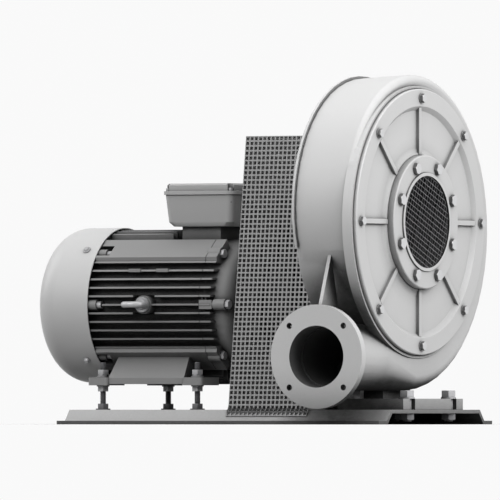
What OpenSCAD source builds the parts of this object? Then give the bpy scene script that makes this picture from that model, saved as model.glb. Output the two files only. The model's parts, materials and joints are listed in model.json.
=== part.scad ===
// High-pressure blower: volute casing, belt drive and foot-mounted motor on one folded base.
// X runs along both shafts towards the air inlet, the outlet faces -Y and +Z is up.
// The origin is on the floor, at the centre of the four floor holes.

/* [Base] */
// Length of the folded base along the shafts
base_l = 603; // [580:1:680]
// Width of the base's flat top
base_top_w = 300; // [290:1:340]
// Height of the base
base_h = 24; // [20:1:36]
// Thickness of the base's sheet
base_sheet = 6; // [4:0.5:8]
// How far each sloping side of the base spreads out
base_flank = 20; // [16:1:28]
// Width of each floor lip outside its sloping side
base_lip = 22; // [20:1:40]
// Spacing of the floor holes along the base
floor_hole_x = 540; // [420:1:550]
// Diameter of the floor holes
floor_hole_d = 11; // [9:0.5:14]

/* [Motor] */
// Place of the shoulder of the motor's shaft along the base
motor_x = 5; // [0:1:10]
// Height of the motor's shaft above the undersides of its feet
shaft_h = 132; // [130:1:136]
// Height of the undersides of the feet above the base at rest
foot_gap = 40; // [34:1:48]
// Spacing of the foot holes across the motor
foot_a = 216; // [210:1:222]
// Spacing of the foot holes along the motor
foot_b = 178; // [140:1:182]
// Distance from the shaft's shoulder to the first foot holes
foot_c = 89; // [80:1:100]
// Length of the finned frame
frame_l = 216; // [200:1:240]
// Radius of the frame's barrel
frame_r = 108; // [104:1:110]
// Radius of the circle that the fins reach
fin_r = 124; // [118:1:125]
// Distance between the fins
fin_pitch = 14; // [10:1:18]
// Thickness of a fin
fin_t = 3; // [2:0.5:4]
// Inner radius of the frame
frame_bore_r = 97; // [94:0.5:99]
// Length of the drive-end shield up to the shaft's shoulder
shield_l = 78; // [74:1:86]
// Outer radius of the fan cowl
cowl_r = 127.5; // [127:0.5:132]
// Length of the fan cowl
cowl_l = 110; // [100:1:130]
// Radius of the cowl's rounded edge
cowl_corner = 48; // [30:1:56]
// Thickness of the cowl's sheet
cowl_sheet = 1.5; // [1:0.25:2]
// Diameter of the motor's shaft
shaft_d = 38; // [36:1:38]
// Length of the motor's shaft beyond its shoulder
shaft_l = 80; // [76:1:90]
// Length of the terminal box along the motor
box_l = 130; // [110:1:140]
// Width of the terminal box
box_w = 130; // [110:1:140]
// Height of the terminal box without its lid
box_h = 51; // [44:1:70]
// Diameter of the motor's four upright studs
stud_d = 10; // [8:1:11]
// How far the motor slides down its studs to tighten the belts
slide_down = 10; // [6:1:12]
// How far the motor slides up its studs to slacken the belts
slide_up = 8; // [4:1:8]

/* [Belt drive] */
// Outer diameter of the motor's pulley
motor_pulley_d = 150; // [130:1:152]
// Outer diameter of the blower's pulley
blower_pulley_d = 98; // [90:1:100]
// Distance from one belt to the next
belt_pitch = 15; // [15:0.5:18]
// Number of belts
belts = 3; // [2:1:3]
// Height of the guard above the base
guard_h = 447; // [430:1:470]
// Half the width of the guard at its top
guard_top = 92.5; // [88:0.5:120]
// Thickness of the guard's sheet
guard_sheet = 2; // [1.5:0.25:2.5]
// Distance between the guard's square holes
guard_pitch = 16; // [16:1:24]
// Share of that distance that a hole takes
guard_open = 0.62; // [0.5:0.01:0.7]

/* [Blower] */
// Height of the blower's shaft above the base
blower_h = 306; // [300:1:312]
// Place of the casing's back face along the base
casing_x = 148.5; // [146:0.5:152]
// Distance from the casing's back face to the cover's seat
casing_w = 110.5; // [106:0.5:116]
// Thickness of the casing's walls
wall = 5; // [4:0.5:6]
// Radius of the scroll at its narrow end
scroll_r0 = 198; // [196:0.5:200]
// Radius of the scroll at its wide end
scroll_r1 = 275; // [272:1:278]
// Radius of the round cover
cover_r = 217; // [215:1:220]
// Depth of the cover at its rim
cover_t = 15; // [14:1:18]
// Number of ribs and of bolts round the cover
cover_ribs = 8; // [6:1:10]
// Radius of the inlet flange
inlet_r = 109; // [106:1:114]
// Thickness of the inlet flange
inlet_t = 12; // [10:1:14]
// Radius of the air inlet
inlet_bore_r = 75; // [70:1:76]
// Radius of the outlet's bore
outlet_bore_r = 50; // [46:1:50]
// Distance from the blower's shaft to the outlet's face
outlet_y = 237.5; // [234:0.5:250]
// Radius of the outlet flange
outlet_r = 84.5; // [82:0.5:86]
// Thickness of the outlet flange
outlet_t = 13; // [10:1:16]
// Diameter of the outlet flange's bolt circle
outlet_pcd = 141.4; // [138:0.2:143]
// Diameter of the outlet flange's bolt holes
outlet_hole_d = 10; // [8:0.5:12]
// Radius of the impeller
impeller_r = 168; // [150:1:175]
// Number of impeller blades
blades = 12; // [8:1:16]
// Thickness of the casing's foot plate
foot_t = 18; // [14:1:20]

/* [Hidden] */
$fn = 64;
hull_fn = 32;

// Clearances
press_gap = 0.05;
seat_gap = 0.2;
screw_gap = 0.1;
run_gap = 0.3;

// Heights and stations of the motor
foot_z = base_h + foot_gap;
motor_z = foot_z + shaft_h;
frame_front = motor_x - shield_l;
frame_back = frame_front - frame_l;
cowl_lap = 8;
cowl_edge = frame_back + cowl_lap;
cowl_end = cowl_edge - cowl_l;
stud_x = [motor_x - foot_c, motor_x - foot_c - foot_b];
stud_y = foot_a / 2;

// Fasteners
nut_af = 1.7 * stud_d;
nut_h = 0.8 * stud_d;
washer_r = 1.05 * stud_d;
washer_t = 2;
spring_washer_t = 2.5;
base_washer_r = 12;
pad_h = 13;
stud_tip = 12;
stud_top = foot_z + pad_h + washer_t + spring_washer_t + nut_h + stud_tip;

// Ball bearings, the same on both shafts
ring_r = 40;
ring_w = 18;
race_r = 20;
ball_r = 6;
ball_circle = (ring_r + race_r) / 2;
balls = 9;
de_bearing = motor_x - 30;
nde_bearing = frame_back - ring_w;

// Belt drive
blower_z = base_h + blower_h;
centre_distance = blower_z - motor_z;
groove_top = 6.6;
groove_depth = 13;
groove_angle = 18;
belt_sink = 0.5;
belt_t = 9;
pulley_edge = 10;
pulley_w = (belts - 1) * belt_pitch + 2 * pulley_edge;
pulley_x = motor_x + shaft_l - pulley_w - 12;
key_w = 10;
key_h = 8;
key_depth = 5;

// Guard
guard_x = motor_x - 6.5;
guard_l = casing_x - guard_x;
guard_lip = 10;
guard_screw_d = 6;
guard_base = base_top_w / 2;
guard_lean = atan((guard_base - guard_top) / guard_h);

// Blower stations
seat_x = casing_x + casing_w;
rim_x = seat_x + cover_t;
panel_sink = 7;
panel_x = rim_x - panel_sink;
boss_h = 4.5;
inlet_x = panel_x + boss_h + inlet_t;
lip_t = 9;
rim_w = 26;
drum_r = min(scroll_r0 - wall - 2, cover_r - rim_w);
lip_r = drum_r - 0.5;
// Collar round the cover, proud of the scroll's front face
collar_r = cover_r + 5;
collar_rise = 8.5;
// The scroll stands in a little from the flat back, and its outlet turns off centre
back_step = 1;
scroll_w = (casing_w + 0.5) / 2;
scroll_x = casing_x + back_step + scroll_w;
outlet_x = casing_x + 62.25;
outlet_shift = outlet_x - scroll_x;
outlet_z = blower_z - (scroll_r1 - outlet_bore_r - wall);
scroll_start = -20;
scroll_end = 270;
// Corner radius of the scroll at its narrow and wide ends
corner_r0 = 10;
corner_r1 = 24;
// Length over which the wide end becomes round
blend_l = 95;
// Machined mouth of the outlet, slightly wider than the cast pipe
mouth_l = 40;
cast_r = outlet_bore_r - 2;
pipe_r = outlet_bore_r + wall - 1;
// Bead along the scroll's back edge
bead_w = 6.5;
bead_h = 4;
bead_start = -12;
bead_end = 236;
// Step between the scroll's end and the round pipe, inside and outside
pipe_step = 0.5;
gusset_t = 6;
cover_bolt_d = 8;
inlet_bolt_d = 10;
back_wall = wall + 2;
housing_l = 64;
housing_x = casing_x - housing_l;
housing_r = ring_r + 12;
housing_flange_r = 80;
housing_flange_t = 12;
cover_pcd = 2 * cover_r - 30;
flange_pcd = 2 * inlet_r - 31;
inlet_bolts = 8;
inlet_turn = 22.5;
foot_x0 = casing_x + 26;
foot_x1 = rim_x + 22.5;
foot_half = 101;
foot_slot_y = 70;
// Pedestal under the scroll
pedestal_l = 36;
pedestal_w = 92;
pedestal_h = 64;
foot_slot_w = 18;
foot_bolt_d = 14;
foot_bolt_x = [foot_x1 - 10, foot_x0 + 12];

// Colours
light_paint = [0.82, 0.83, 0.83];
cowl_paint = [0.74, 0.75, 0.76];
motor_paint = [0.52, 0.54, 0.56];
box_paint = [0.50, 0.52, 0.54];
base_paint = [0.66, 0.67, 0.68];
guard_paint = [0.56, 0.57, 0.58];
steel = [0.72, 0.73, 0.74];
dark = [0.14, 0.14, 0.15];
copper = [0.72, 0.42, 0.22];
laminate = [0.42, 0.43, 0.45];

// Lays a shape's Z axis along X, on the shaft at height z
module along_x(x, z) translate([x, 0, z]) rotate([0, 90, 0]) children();

// Extrudes a drawing of Y and Z along X
module section(x, l) translate([x, 0, 0]) rotate([90, 0, 90]) linear_extrude(l) children();

// Repeats a shape evenly on a circle about Z
module ring_of(n, r, start = 0) {
    for (i = [0:n - 1])
        rotate(start + 360 * i / n) translate([r, 0, 0]) children();
}

module tube(r_out, r_in, h) {
    difference() {
        cylinder(r = r_out, h = h);
        translate([0, 0, -1]) cylinder(r = r_in, h = h + 2);
    }
}

module hexagon(af, h) cylinder(d = af / cos(30), h = h, $fn = 6);

// A nut or hexagon head with its corners turned off
module turned_hex(af, h) {
    intersection() {
        hexagon(af, h);
        cylinder(r1 = af * 0.56 + h, r2 = af * 0.50, h = h);
    }
}

module nut(d, af, h) {
    difference() {
        turned_hex(af, h);
        translate([0, 0, -1]) cylinder(d = d + 2 * screw_gap, h = h + 2);
    }
}

// A hexagon bolt with its head above z = 0 and its shank below
module hex_bolt(d, af, head_h, l) {
    turned_hex(af, head_h);
    translate([0, 0, -l]) cylinder(d = d, h = l);
}

// A socket-head screw with its head above z = 0
module cap_screw(d, l) {
    difference() {
        cylinder(d = 1.6 * d, h = d);
        translate([0, 0, 0.45 * d]) hexagon(0.8 * d, d);
    }
    translate([0, 0, -l]) cylinder(d = d, h = l);
}

// A rectangle with round corners, centred
module rounded(l, w, r) {
    square([l - 2 * r, w], center = true);
    square([l, w - 2 * r], center = true);
    for (x = [-1, 1], y = [-1, 1]) translate([x * (l / 2 - r), y * (w / 2 - r)]) circle(r);
}

// Both rings' groove is cut by the same circle of balls
module outer_ring() {
    rotate_extrude() difference() {
        translate([ball_circle + 3.2, 0]) square([ring_r - ball_circle - 3.2, ring_w]);
        translate([ball_circle, ring_w / 2]) circle(ball_r + press_gap);
    }
}

module inner_ring() {
    rotate_extrude() difference() {
        translate([race_r + press_gap, 0]) square([ball_circle - 3.2 - race_r, ring_w]);
        translate([ball_circle, ring_w / 2]) circle(ball_r + press_gap);
    }
}

module ball_set() translate([0, 0, ring_w / 2]) ring_of(balls, ball_circle) sphere(ball_r);

// Base

module base_outline() {
    top = base_top_w / 2;
    foot = top + base_flank;
    rise = base_flank / base_h;
    // Sideways distance between the sheet's two faces on the slope
    skew = base_sheet * sqrt(1 + rise * rise);
    half = [
        [foot + base_lip, 0],
        [foot + base_lip, base_sheet],
        [foot - base_sheet * rise, base_sheet],
        [top, base_h]
    ];
    under = [
        [top + base_sheet * rise - skew, base_h - base_sheet],
        [foot - skew, 0]
    ];
    outer = concat(half, [for (i = [len(half) - 1:-1:0]) [-half[i][0], half[i][1]]]);
    inner = concat([for (i = [len(under) - 1:-1:0]) [-under[i][0], under[i][1]]], under);
    polygon(concat(outer, inner));
}

module at_studs() {
    for (x = stud_x, y = [-stud_y, stud_y]) translate([x, y, 0]) children();
}

module at_foot_bolts() {
    for (x = foot_bolt_x, y = [-foot_slot_y, foot_slot_y]) translate([x, y, 0]) children();
}

module base_plate() color(base_paint) difference() {
    section(-base_l / 2, base_l) base_outline();
    for (x = [-1, 1], y = [-1, 1])
        translate([x * floor_hole_x / 2, y * (base_top_w / 2 + base_flank + base_lip / 2), -1])
            cylinder(d = floor_hole_d, h = base_sheet + 2);
    at_studs() translate([0, 0, base_h - base_sheet - 1]) cylinder(d = stud_d + 1, h = base_sheet + 2);
    at_foot_bolts() translate([0, 0, base_h - base_sheet - 1])
        cylinder(d = foot_bolt_d + 1, h = base_sheet + 2);
    at_guard_screws() translate([0, 0, base_h - base_sheet - 1])
        cylinder(r = guard_screw_d / 2 + 0.2, h = base_sheet + 2);
}

// Studs that carry the motor

module jacking_studs() color(steel) at_studs() {
    low = base_h - base_sheet - washer_t - nut_h - 1;
    translate([0, 0, low]) cylinder(d = stud_d, h = stud_top - low - 1);
    translate([0, 0, stud_top - 1]) cylinder(d1 = stud_d, d2 = stud_d - 2, h = 1);
}

module base_nuts() color(steel) at_studs() {
    translate([0, 0, base_h + washer_t]) nut(stud_d, nut_af, nut_h);
    translate([0, 0, base_h - base_sheet - washer_t]) mirror([0, 0, 1]) nut(stud_d, nut_af, nut_h);
}

module base_washers() color(steel) at_studs() {
    translate([0, 0, base_h]) tube(base_washer_r, stud_d / 2 + screw_gap, washer_t);
    translate([0, 0, base_h - base_sheet - washer_t])
        tube(washer_r, stud_d / 2 + screw_gap, washer_t);
}

module adjusting_nuts() color(steel) at_studs() {
    translate([0, 0, foot_z + pad_h + washer_t + spring_washer_t]) nut(stud_d, nut_af, nut_h);
    translate([0, 0, foot_z - washer_t]) mirror([0, 0, 1]) nut(stud_d, nut_af, nut_h);
}

module adjusting_washers() color(steel) at_studs() {
    translate([0, 0, foot_z + pad_h]) tube(washer_r, stud_d / 2 + screw_gap, washer_t);
    translate([0, 0, foot_z - washer_t]) tube(washer_r, stud_d / 2 + screw_gap, washer_t);
    // Spring washer, split on one side
    translate([0, 0, foot_z + pad_h + washer_t]) difference() {
        tube(stud_d / 2 + 3.8, stud_d / 2 + screw_gap, spring_washer_t);
        translate([0, -1, -1]) cube([stud_d, 2, spring_washer_t + 2]);
    }
}

// Motor housing

side_fins = 5;
top_fins = 3;
pad_low = 70;
pad_side = 101;
pad_plane = [[pad_side, pad_low + 8], [66, 107]];

// Outline of the sloping pads that carry the feet below and stay bare above
module corner_pads(up) {
    for (side = [-1, 1])
        polygon([
            [side * 60, up * 60],
            [side * (pad_side - 1), up * pad_low],
            [side * pad_plane[0][0], up * pad_plane[0][1]],
            [side * pad_plane[1][0], up * pad_plane[1][1]],
            [side * 50, up * 85]
        ]);
}

module side_fin_outline() {
    intersection() {
        circle(fin_r);
        for (i = [-side_fins:side_fins])
            translate([0, i * fin_pitch]) square([2 * fin_r, fin_t], center = true);
    }
}

module upright_fin_outline(up) {
    intersection() {
        circle(fin_r);
        for (i = [-top_fins:top_fins])
            translate([i * fin_pitch - fin_t / 2, up > 0 ? 0 : -fin_r]) square([fin_t, fin_r]);
    }
}

// Bosses through which the fan-end shield is bolted, two of them at the sides
end_boss_r = 9;
end_boss_l = 22;
end_bolt_d = 8;
end_bolt_r = 116;
end_bolt_angles = [45, 90, 135, 225, 270, 315];
// Depth of the bolts in the shield, short of the cowl's screws
end_grip = 8.5;

module fan_end_bosses() along_x(frame_back, motor_z) for (a = end_bolt_angles) rotate(a)
    translate([end_bolt_r, 0, 0]) children();

eye_x = motor_x - 181.5;
eye_gap = 41;
eye_boss_r = 15;
lug_x = [eye_x - 24, eye_x + 28];
lug_z = motor_z + 4 * fin_pitch;
neck_x0 = motor_x - 153;
neck_l = 72;
neck_w = 90;
box_z = motor_z + 128.5;
foot_screw_x = [frame_front - 60, frame_back + 60];
foot_screw_y = 78;
foot_screw_d = 8;
foot_screw_seat = 14;
wire_hole_r = 20;

module stator_frame() color(motor_paint) difference() {
    union() {
        difference() {
            translate([0, 0, motor_z]) section(frame_back, frame_l) {
                circle(frame_r);
                side_fin_outline();
                upright_fin_outline(-1);
            }
            // Room in the middle fins for the heads of the fan-end bolts at the sides
            for (y = [frame_r + 1, -fin_r - 5])
                translate([frame_back + end_boss_l - 1, y, motor_z - fin_t])
                    cube([end_bolt_d + 5, fin_r + 4 - frame_r, 2 * fin_t]);
        }
        difference() {
            translate([0, 0, motor_z]) section(frame_back + cowl_lap + 0.5, frame_l - cowl_lap - 0.5) {
                corner_pads(1);
                corner_pads(-1);
            }
            // Room for the heads of the fan-end bolts
            fan_end_bosses() cylinder(r = end_boss_r + 6, h = end_boss_l + 10);
        }
        translate([0, 0, motor_z]) section(frame_back + 4, neck_x0 - frame_back - 22)
            upright_fin_outline(1);
        translate([neck_x0, -neck_w / 2, motor_z + 60]) cube([neck_l, neck_w, 68.5]);
        fan_end_bosses() cylinder(r = end_boss_r, h = end_boss_l);
        // Boss of the eyebolt and the two small lugs above it
        translate([eye_x, 0, motor_z]) rotate([90, 0, 0]) cylinder(r = eye_boss_r, h = fin_r + 2);
        for (x = lug_x) translate([x - 11, -pad_side - 11, lug_z - 2.5]) cube([22, 30, 5.5]);
    }
    translate([0, 0, motor_z]) section(frame_back - 1, frame_l + 2) circle(frame_bore_r);
    // The fins stop short of the eyebolt's boss
    for (i = [-1, 0])
        translate([0, 0, motor_z + i * fin_pitch + fin_t / 2]) difference() {
            translate([eye_x - eye_gap / 2, -fin_r - 1, i < 0 ? -fin_t : 0])
                cube([eye_gap, fin_r - frame_r + 2, fin_pitch]);
            translate([eye_x, 0, -i * fin_pitch - fin_t / 2]) rotate([90, 0, 0])
                cylinder(r = eye_boss_r, h = fin_r + 9);
        }
    translate([eye_x, -fin_r - 3, motor_z]) rotate([-90, 0, 0])
        cylinder(r = eye_thread_r + screw_gap, h = eye_thread_l + 2);
    for (x = lug_x) translate([x, -pad_side - 5, lug_z - 6]) cylinder(r = 2, h = 12);
    at_shield_bolts() translate([0, 0, -14]) cylinder(r = shield_bolt_d / 2 + screw_gap, h = 15);
    for (x = foot_screw_x, side = [-1, 1])
        translate([x, side * foot_screw_y, foot_z + 30]) cylinder(r = foot_screw_d / 2 + screw_gap, h = 26);
    fan_end_bosses() translate([0, 0, -1]) cylinder(r = end_bolt_d / 2 + screw_gap, h = end_boss_l + 2);
    // Way from the windings up to the terminals
    translate([neck_x0 + neck_l / 2, 0, motor_z + 60]) cylinder(r = wire_hole_r, h = 80);
}

foot_bar_y = 122;
foot_front_y = 127;
foot_back_y = 66;
pad_l = 38;

module foot_outline() {
    inner_y = pad_plane[1][0];
    polygon([
        [foot_bar_y, 2],
        [foot_bar_y, 12],
        [pad_plane[0][0] - 9, shaft_h - pad_plane[0][1] - 7.5],
        [inner_y, shaft_h - pad_plane[1][1]],
        [inner_y, 2],
        [inner_y + 8, 2],
        [inner_y + 8, 14],
        [foot_bar_y - 22, 14],
        [foot_bar_y - 14, 2]
    ]);
}

module motor_feet() color(motor_paint) for (side = [-1, 1]) difference() {
    union() {
        intersection() {
            translate([0, 0, foot_z]) section(stud_x[1] + 18, foot_b - 36) scale([side, 1]) foot_outline();
            translate([0, 0, foot_z]) rotate([90, 0, 0]) translate([0, 0, -200]) linear_extrude(400)
                polygon([
                    [stud_x[1] + 18, 0], [stud_x[1] + 18, 13], [stud_x[1] + 21, 60],
                    [stud_x[0] - 27, 60], [stud_x[0] - 18, 13], [stud_x[0] - 18, 0]
                ]);
        }
        for (x = stud_x)
            translate([x, side * (foot_front_y + foot_back_y) / 2, foot_z])
                linear_extrude(pad_h) rounded(pad_l, foot_front_y - foot_back_y, 6);
    }
    for (x = stud_x) translate([x, side * stud_y, foot_z - 1]) cylinder(r = stud_d / 2 + 1, h = pad_h + 2);
    for (x = foot_screw_x) translate([x, side * foot_screw_y, foot_z - 1]) {
        cylinder(r = foot_screw_d / 2 + 0.5, h = 60);
        cylinder(r = foot_screw_d / 2 + 3.5, h = foot_screw_seat + 1);
    }
}

module foot_screws() color(steel)
    for (x = foot_screw_x, side = [-1, 1])
        translate([x, side * foot_screw_y, foot_z + foot_screw_seat]) mirror([0, 0, 1])
            cap_screw(foot_screw_d, 30);

shield_bolt_d = 8;
shield_bolt_af = 13;
shield_bolt_r = 118;
shield_boss_l = 22;
shield_bolt_angles = [45, 135, 225, 315];
side_block_l = 24;
side_boss_l = 47;
side_boss_y = fin_r - 9;

module at_shield_bolts() along_x(frame_front, motor_z) for (a = shield_bolt_angles) rotate(a)
    translate([shield_bolt_r, 0, 0]) children();

module at_side_bosses() for (side = [-1, 1])
    translate([frame_front, side * side_boss_y, motor_z]) children();

// Outline of the drive-end shield: a rim, a rounded shoulder and the bearing's seat
module shield_outline() {
    nose = shield_l - 7;
    shoulder = 32;
    seat = shield_l - 30;
    outer = [for (t = [0:15:90]) [48 + (frame_r - 48) * cos(t), shoulder + (nose - 5 - shoulder) * sin(t)]];
    inner = [for (t = [90:-15:0]) [48 + (frame_bore_r - 49) * cos(t), 24 + (nose - 38) * sin(t)]];
    polygon(concat(
        [[frame_bore_r - 1, 0], [frame_r, 0]],
        outer,
        [[46, nose], [shaft_d / 2 + 2, nose], [shaft_d / 2 + 2, seat + ring_w]],
        [[ring_r + press_gap, seat + ring_w], [ring_r + press_gap, seat - 2], [48, seat - 2]],
        inner
    ));
}

module drive_end_shield() color(motor_paint) difference() {
    union() {
        along_x(frame_front, motor_z) rotate_extrude() shield_outline();
        translate([0, 0, motor_z]) section(frame_front + 1, 20) difference() {
            union() {
                side_fin_outline();
                corner_pads(1);
                corner_pads(-1);
            }
            circle(frame_r - 3);
        }
        at_shield_bolts() cylinder(r = 10, h = shield_boss_l);
        // Block and boss at each side for a cover screw, with an earth terminal's eye above the block
        at_side_bosses() {
            translate([0, -8, -7.5]) cube([side_block_l, 16, 15]);
            translate([side_block_l - 1, 0, 0]) rotate([0, 90, 0]) {
                cylinder(r = 7.5, h = side_boss_l - side_block_l);
                translate([0, 0, 2.5]) cylinder(r = 9, h = side_boss_l - side_block_l - 1.5);
            }
            translate([7, 4, 9]) rotate([90, 0, 0]) cylinder(r = 4.5, h = 8);
        }
    }
    at_shield_bolts() translate([0, 0, -1]) cylinder(r = shield_bolt_d / 2 + 0.5, h = shield_boss_l + 2);
    at_side_bosses() {
        translate([7, 5, 10]) rotate([90, 0, 0]) cylinder(r = 2, h = 10);
        translate([side_block_l, 0, 0]) rotate([0, 90, 0])
            cylinder(r = shield_bolt_d / 2 + screw_gap, h = side_boss_l);
    }
}

module fan_end_shield() color(motor_paint) difference() {
    union() {
        along_x(nde_bearing - 5, motor_z) {
            cylinder(r = 50, h = ring_w + 5);
            translate([0, 0, 11]) cylinder(r = frame_r, h = 12);
            // Lugs that carry the cowl
            intersection() {
                cylinder(r = cowl_r - cowl_sheet - press_gap, h = 40);
                for (a = end_bolt_angles) rotate(a) translate([60, -9, 3]) cube([90, 18, 20]);
            }
        }
    }
    along_x(nde_bearing, motor_z) cylinder(r = ring_r + press_gap, h = ring_w + 1);
    along_x(nde_bearing - 6, motor_z) cylinder(r = race_r, h = 8);
    cowl_screw_places() translate([0, 0, -18]) cylinder(r = 2.5 + screw_gap, h = 20);
    fan_end_bosses() translate([0, 0, -end_grip]) cylinder(r = end_bolt_d / 2 + screw_gap, h = end_grip + 1);
}

module shield_bolts() color(steel) {
    at_shield_bolts() translate([0, 0, shield_boss_l])
        hex_bolt(shield_bolt_d, shield_bolt_af, 5.5, shield_boss_l + 12);
    at_side_bosses() translate([side_boss_l, 0, 0]) rotate([0, 90, 0])
        hex_bolt(shield_bolt_d, shield_bolt_af, 7, 18);
    fan_end_bosses() translate([0, 0, end_boss_l]) cap_screw(end_bolt_d, end_boss_l + end_grip - 1);
}

// Cowl

cowl_screw_x = cowl_edge - 22;

module cowl_screw_places() {
    along_x(cowl_screw_x, motor_z) for (a = shield_bolt_angles) rotate(a)
        translate([cowl_r, 0, 0]) rotate([0, 90, 0]) children();
}

// Half outline of the cowl, its radius by its distance from the open edge
function cowl_curve(r, l, c) = [for (t = [0:7.5:90]) [r - c + c * cos(t), l - c + c * sin(t)]];

module fan_cowl() color(cowl_paint) difference() {
    translate([cowl_edge, 0, motor_z]) rotate([0, -90, 0]) rotate_extrude($fn = 96) polygon(concat(
        [[cowl_r - cowl_sheet, 0], [cowl_r, 0]],
        cowl_curve(cowl_r, cowl_l, cowl_corner),
        [[0, cowl_l], [0, cowl_l - cowl_sheet]],
        reversed(cowl_curve(cowl_r - cowl_sheet, cowl_l - cowl_sheet, cowl_corner - cowl_sheet))
    ));
    cowl_screw_places() translate([0, 0, -5]) cylinder(r = 3, h = 10);
    // Air slots in rings, crossed by four spokes
    translate([cowl_end - 1, 0, motor_z]) rotate([0, 90, 0]) for (k = [0:grille_rings - 1]) difference() {
        tube(18 + (k + 1) * grille_pitch - 3, 18 + k * grille_pitch, cowl_sheet + 2);
        for (a = [0, 90]) rotate(a) translate([-100, -4, -1]) cube([200, 8, cowl_sheet + 4]);
    }
}

grille_rings = 6;
grille_pitch = 10;
function reversed(list) = [for (i = [len(list) - 1:-1:0]) list[i]];

module cowl_screws() color(steel) cowl_screw_places() {
    cylinder(r = 6.5, h = 1.4);
    translate([0, 0, 1.4]) cylinder(r1 = 5, r2 = 3.4, h = 3.2);
    translate([0, 0, -14]) cylinder(r = 2.5, h = 15);
}

// Electrical parts

core_x = frame_back + 58;
core_l = frame_l - 100;
rotor_gap = 0.6;
core_bore_r = 62;

module stator_core() color(laminate) along_x(core_x, motor_z) difference() {
    cylinder(r = frame_bore_r - press_gap, h = core_l);
    translate([0, 0, -1]) cylinder(r = core_bore_r, h = core_l + 2);
}

module stator_windings() color(copper) for (x = [core_x - 26, core_x + core_l]) along_x(x, motor_z)
    rotate_extrude() translate([(core_bore_r + frame_bore_r) / 2, 13]) rounded(24, 26, 8);

module rotor_core() color(laminate) along_x(core_x, motor_z) difference() {
    union() {
        cylinder(r = core_bore_r - rotor_gap, h = core_l);
        translate([0, 0, -12]) cylinder(r = core_bore_r - 8, h = core_l + 24);
    }
    translate([0, 0, -20]) cylinder(r = race_r + 5 + press_gap, h = core_l + 40);
}

fan_x = cowl_end + 24;

module motor_shaft() color(steel) difference() {
    union() {
        along_x(fan_x - 4, motor_z) cylinder(r = 15, h = nde_bearing - fan_x + 4);
        along_x(nde_bearing - 4, motor_z) cylinder(r = race_r - 1, h = 10);
        along_x(nde_bearing, motor_z) cylinder(r = race_r, h = de_bearing + ring_w - nde_bearing);
        along_x(nde_bearing + ring_w, motor_z)
            cylinder(r = race_r + 5, h = de_bearing - nde_bearing - ring_w);
        along_x(de_bearing, motor_z) cylinder(d = shaft_d, h = motor_x + shaft_l - de_bearing - 1.5);
        along_x(motor_x + shaft_l - 1.5, motor_z) cylinder(d1 = shaft_d, d2 = shaft_d - 3, h = 1.5);
    }
    keyway(pulley_x, shaft_d / 2, motor_z);
}

module keyway(x, r, z) translate([x, -key_w / 2 - press_gap, z + r - key_depth])
    cube([pulley_w, key_w + 2 * press_gap, key_depth + 1]);

module key(x, r, z) translate([x + seat_gap, -key_w / 2, z + r - key_depth + press_gap])
    cube([pulley_w - 2 * seat_gap, key_w, key_h - press_gap]);

fan_r = 104;
fan_blades = 9;

module cooling_fan() color(dark) along_x(fan_x, motor_z) difference() {
    union() {
        cylinder(r = 24, h = 44);
        translate([0, 0, 40]) cylinder(r1 = 92, r2 = fan_r, h = 4);
        ring_of(fan_blades, 20) translate([0, -1.5, 6]) cube([fan_r - 24, 3, 36]);
    }
    translate([0, 0, -1]) cylinder(r = 15 + press_gap, h = 50);
}

motor_bearings = [nde_bearing, de_bearing];

module motor_outer_rings() color(steel) for (x = motor_bearings) along_x(x, motor_z) outer_ring();
module motor_inner_rings() color(steel) for (x = motor_bearings) along_x(x, motor_z) inner_ring();
module motor_balls() color(steel) for (x = motor_bearings) along_x(x, motor_z) ball_set();

// Terminal box

box_x = motor_x - 113;
box_r = 12;
box_wall = 4;
lid_flange = 3;
lid_edge_h = 6;
lid_h = 18.5;
gasket_t = 1;
gland_r = 10;
gland_x = box_x + 20;
gland_z = box_z + 26;
// Depth of the gland's seat in the box's sloping side
gland_sink = 2.2;
lid_screw_d = 5;
lid_screw_in = 6.2;
// Room inside the box, short of its walls
inner_l = box_l - 2 * box_wall - 10;
inner_w = box_w - 2 * box_wall - 10;
board_l = 86;
board_w = 52;
board_t = 8;
board_hole_x = 30;
terminal_x = 20;
terminal_y = 13;
terminal_h = 14;

module terminal_box() color(box_paint) difference() {
    translate([box_x, 0, box_z]) hull() {
        linear_extrude(1) rounded(box_l - 20, box_w - 20, box_r, $fn = hull_fn);
        translate([0, 0, 7]) linear_extrude(1) rounded(box_l - 8, box_w - 8, box_r, $fn = hull_fn);
        translate([0, 0, box_h - 1]) linear_extrude(1) rounded(box_l, box_w, box_r, $fn = hull_fn);
    }
    translate([box_x, 0, box_z + box_wall]) linear_extrude(box_h)
        rounded(inner_l, inner_w, box_r - 4);
    translate([neck_x0 + neck_l / 2, 0, box_z - 1]) cylinder(r = wire_hole_r, h = 20);
    translate([gland_x, box_w / 2 - 20, gland_z]) rotate([-90, 0, 0]) cylinder(r = gland_r, h = 40);
    at_lid_screws() translate([0, 0, box_h - 12]) cylinder(r = lid_screw_d / 2 + screw_gap, h = 14);
}

module at_lid_screws() {
    for (x = [-1, 1], y = [-1, 1])
        translate([box_x + x * (box_l / 2 - lid_screw_in), y * (box_w / 2 - lid_screw_in), box_z]) children();
}

module lid_gasket() color(dark) difference() {
    translate([box_x, 0, box_z + box_h]) linear_extrude(gasket_t) difference() {
        rounded(box_l, box_w, box_r);
        rounded(inner_l, inner_w, box_r - 4);
    }
    at_lid_screws() translate([0, 0, box_h - 1]) cylinder(r = lid_screw_d / 2 + 0.5, h = 4);
}

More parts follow.
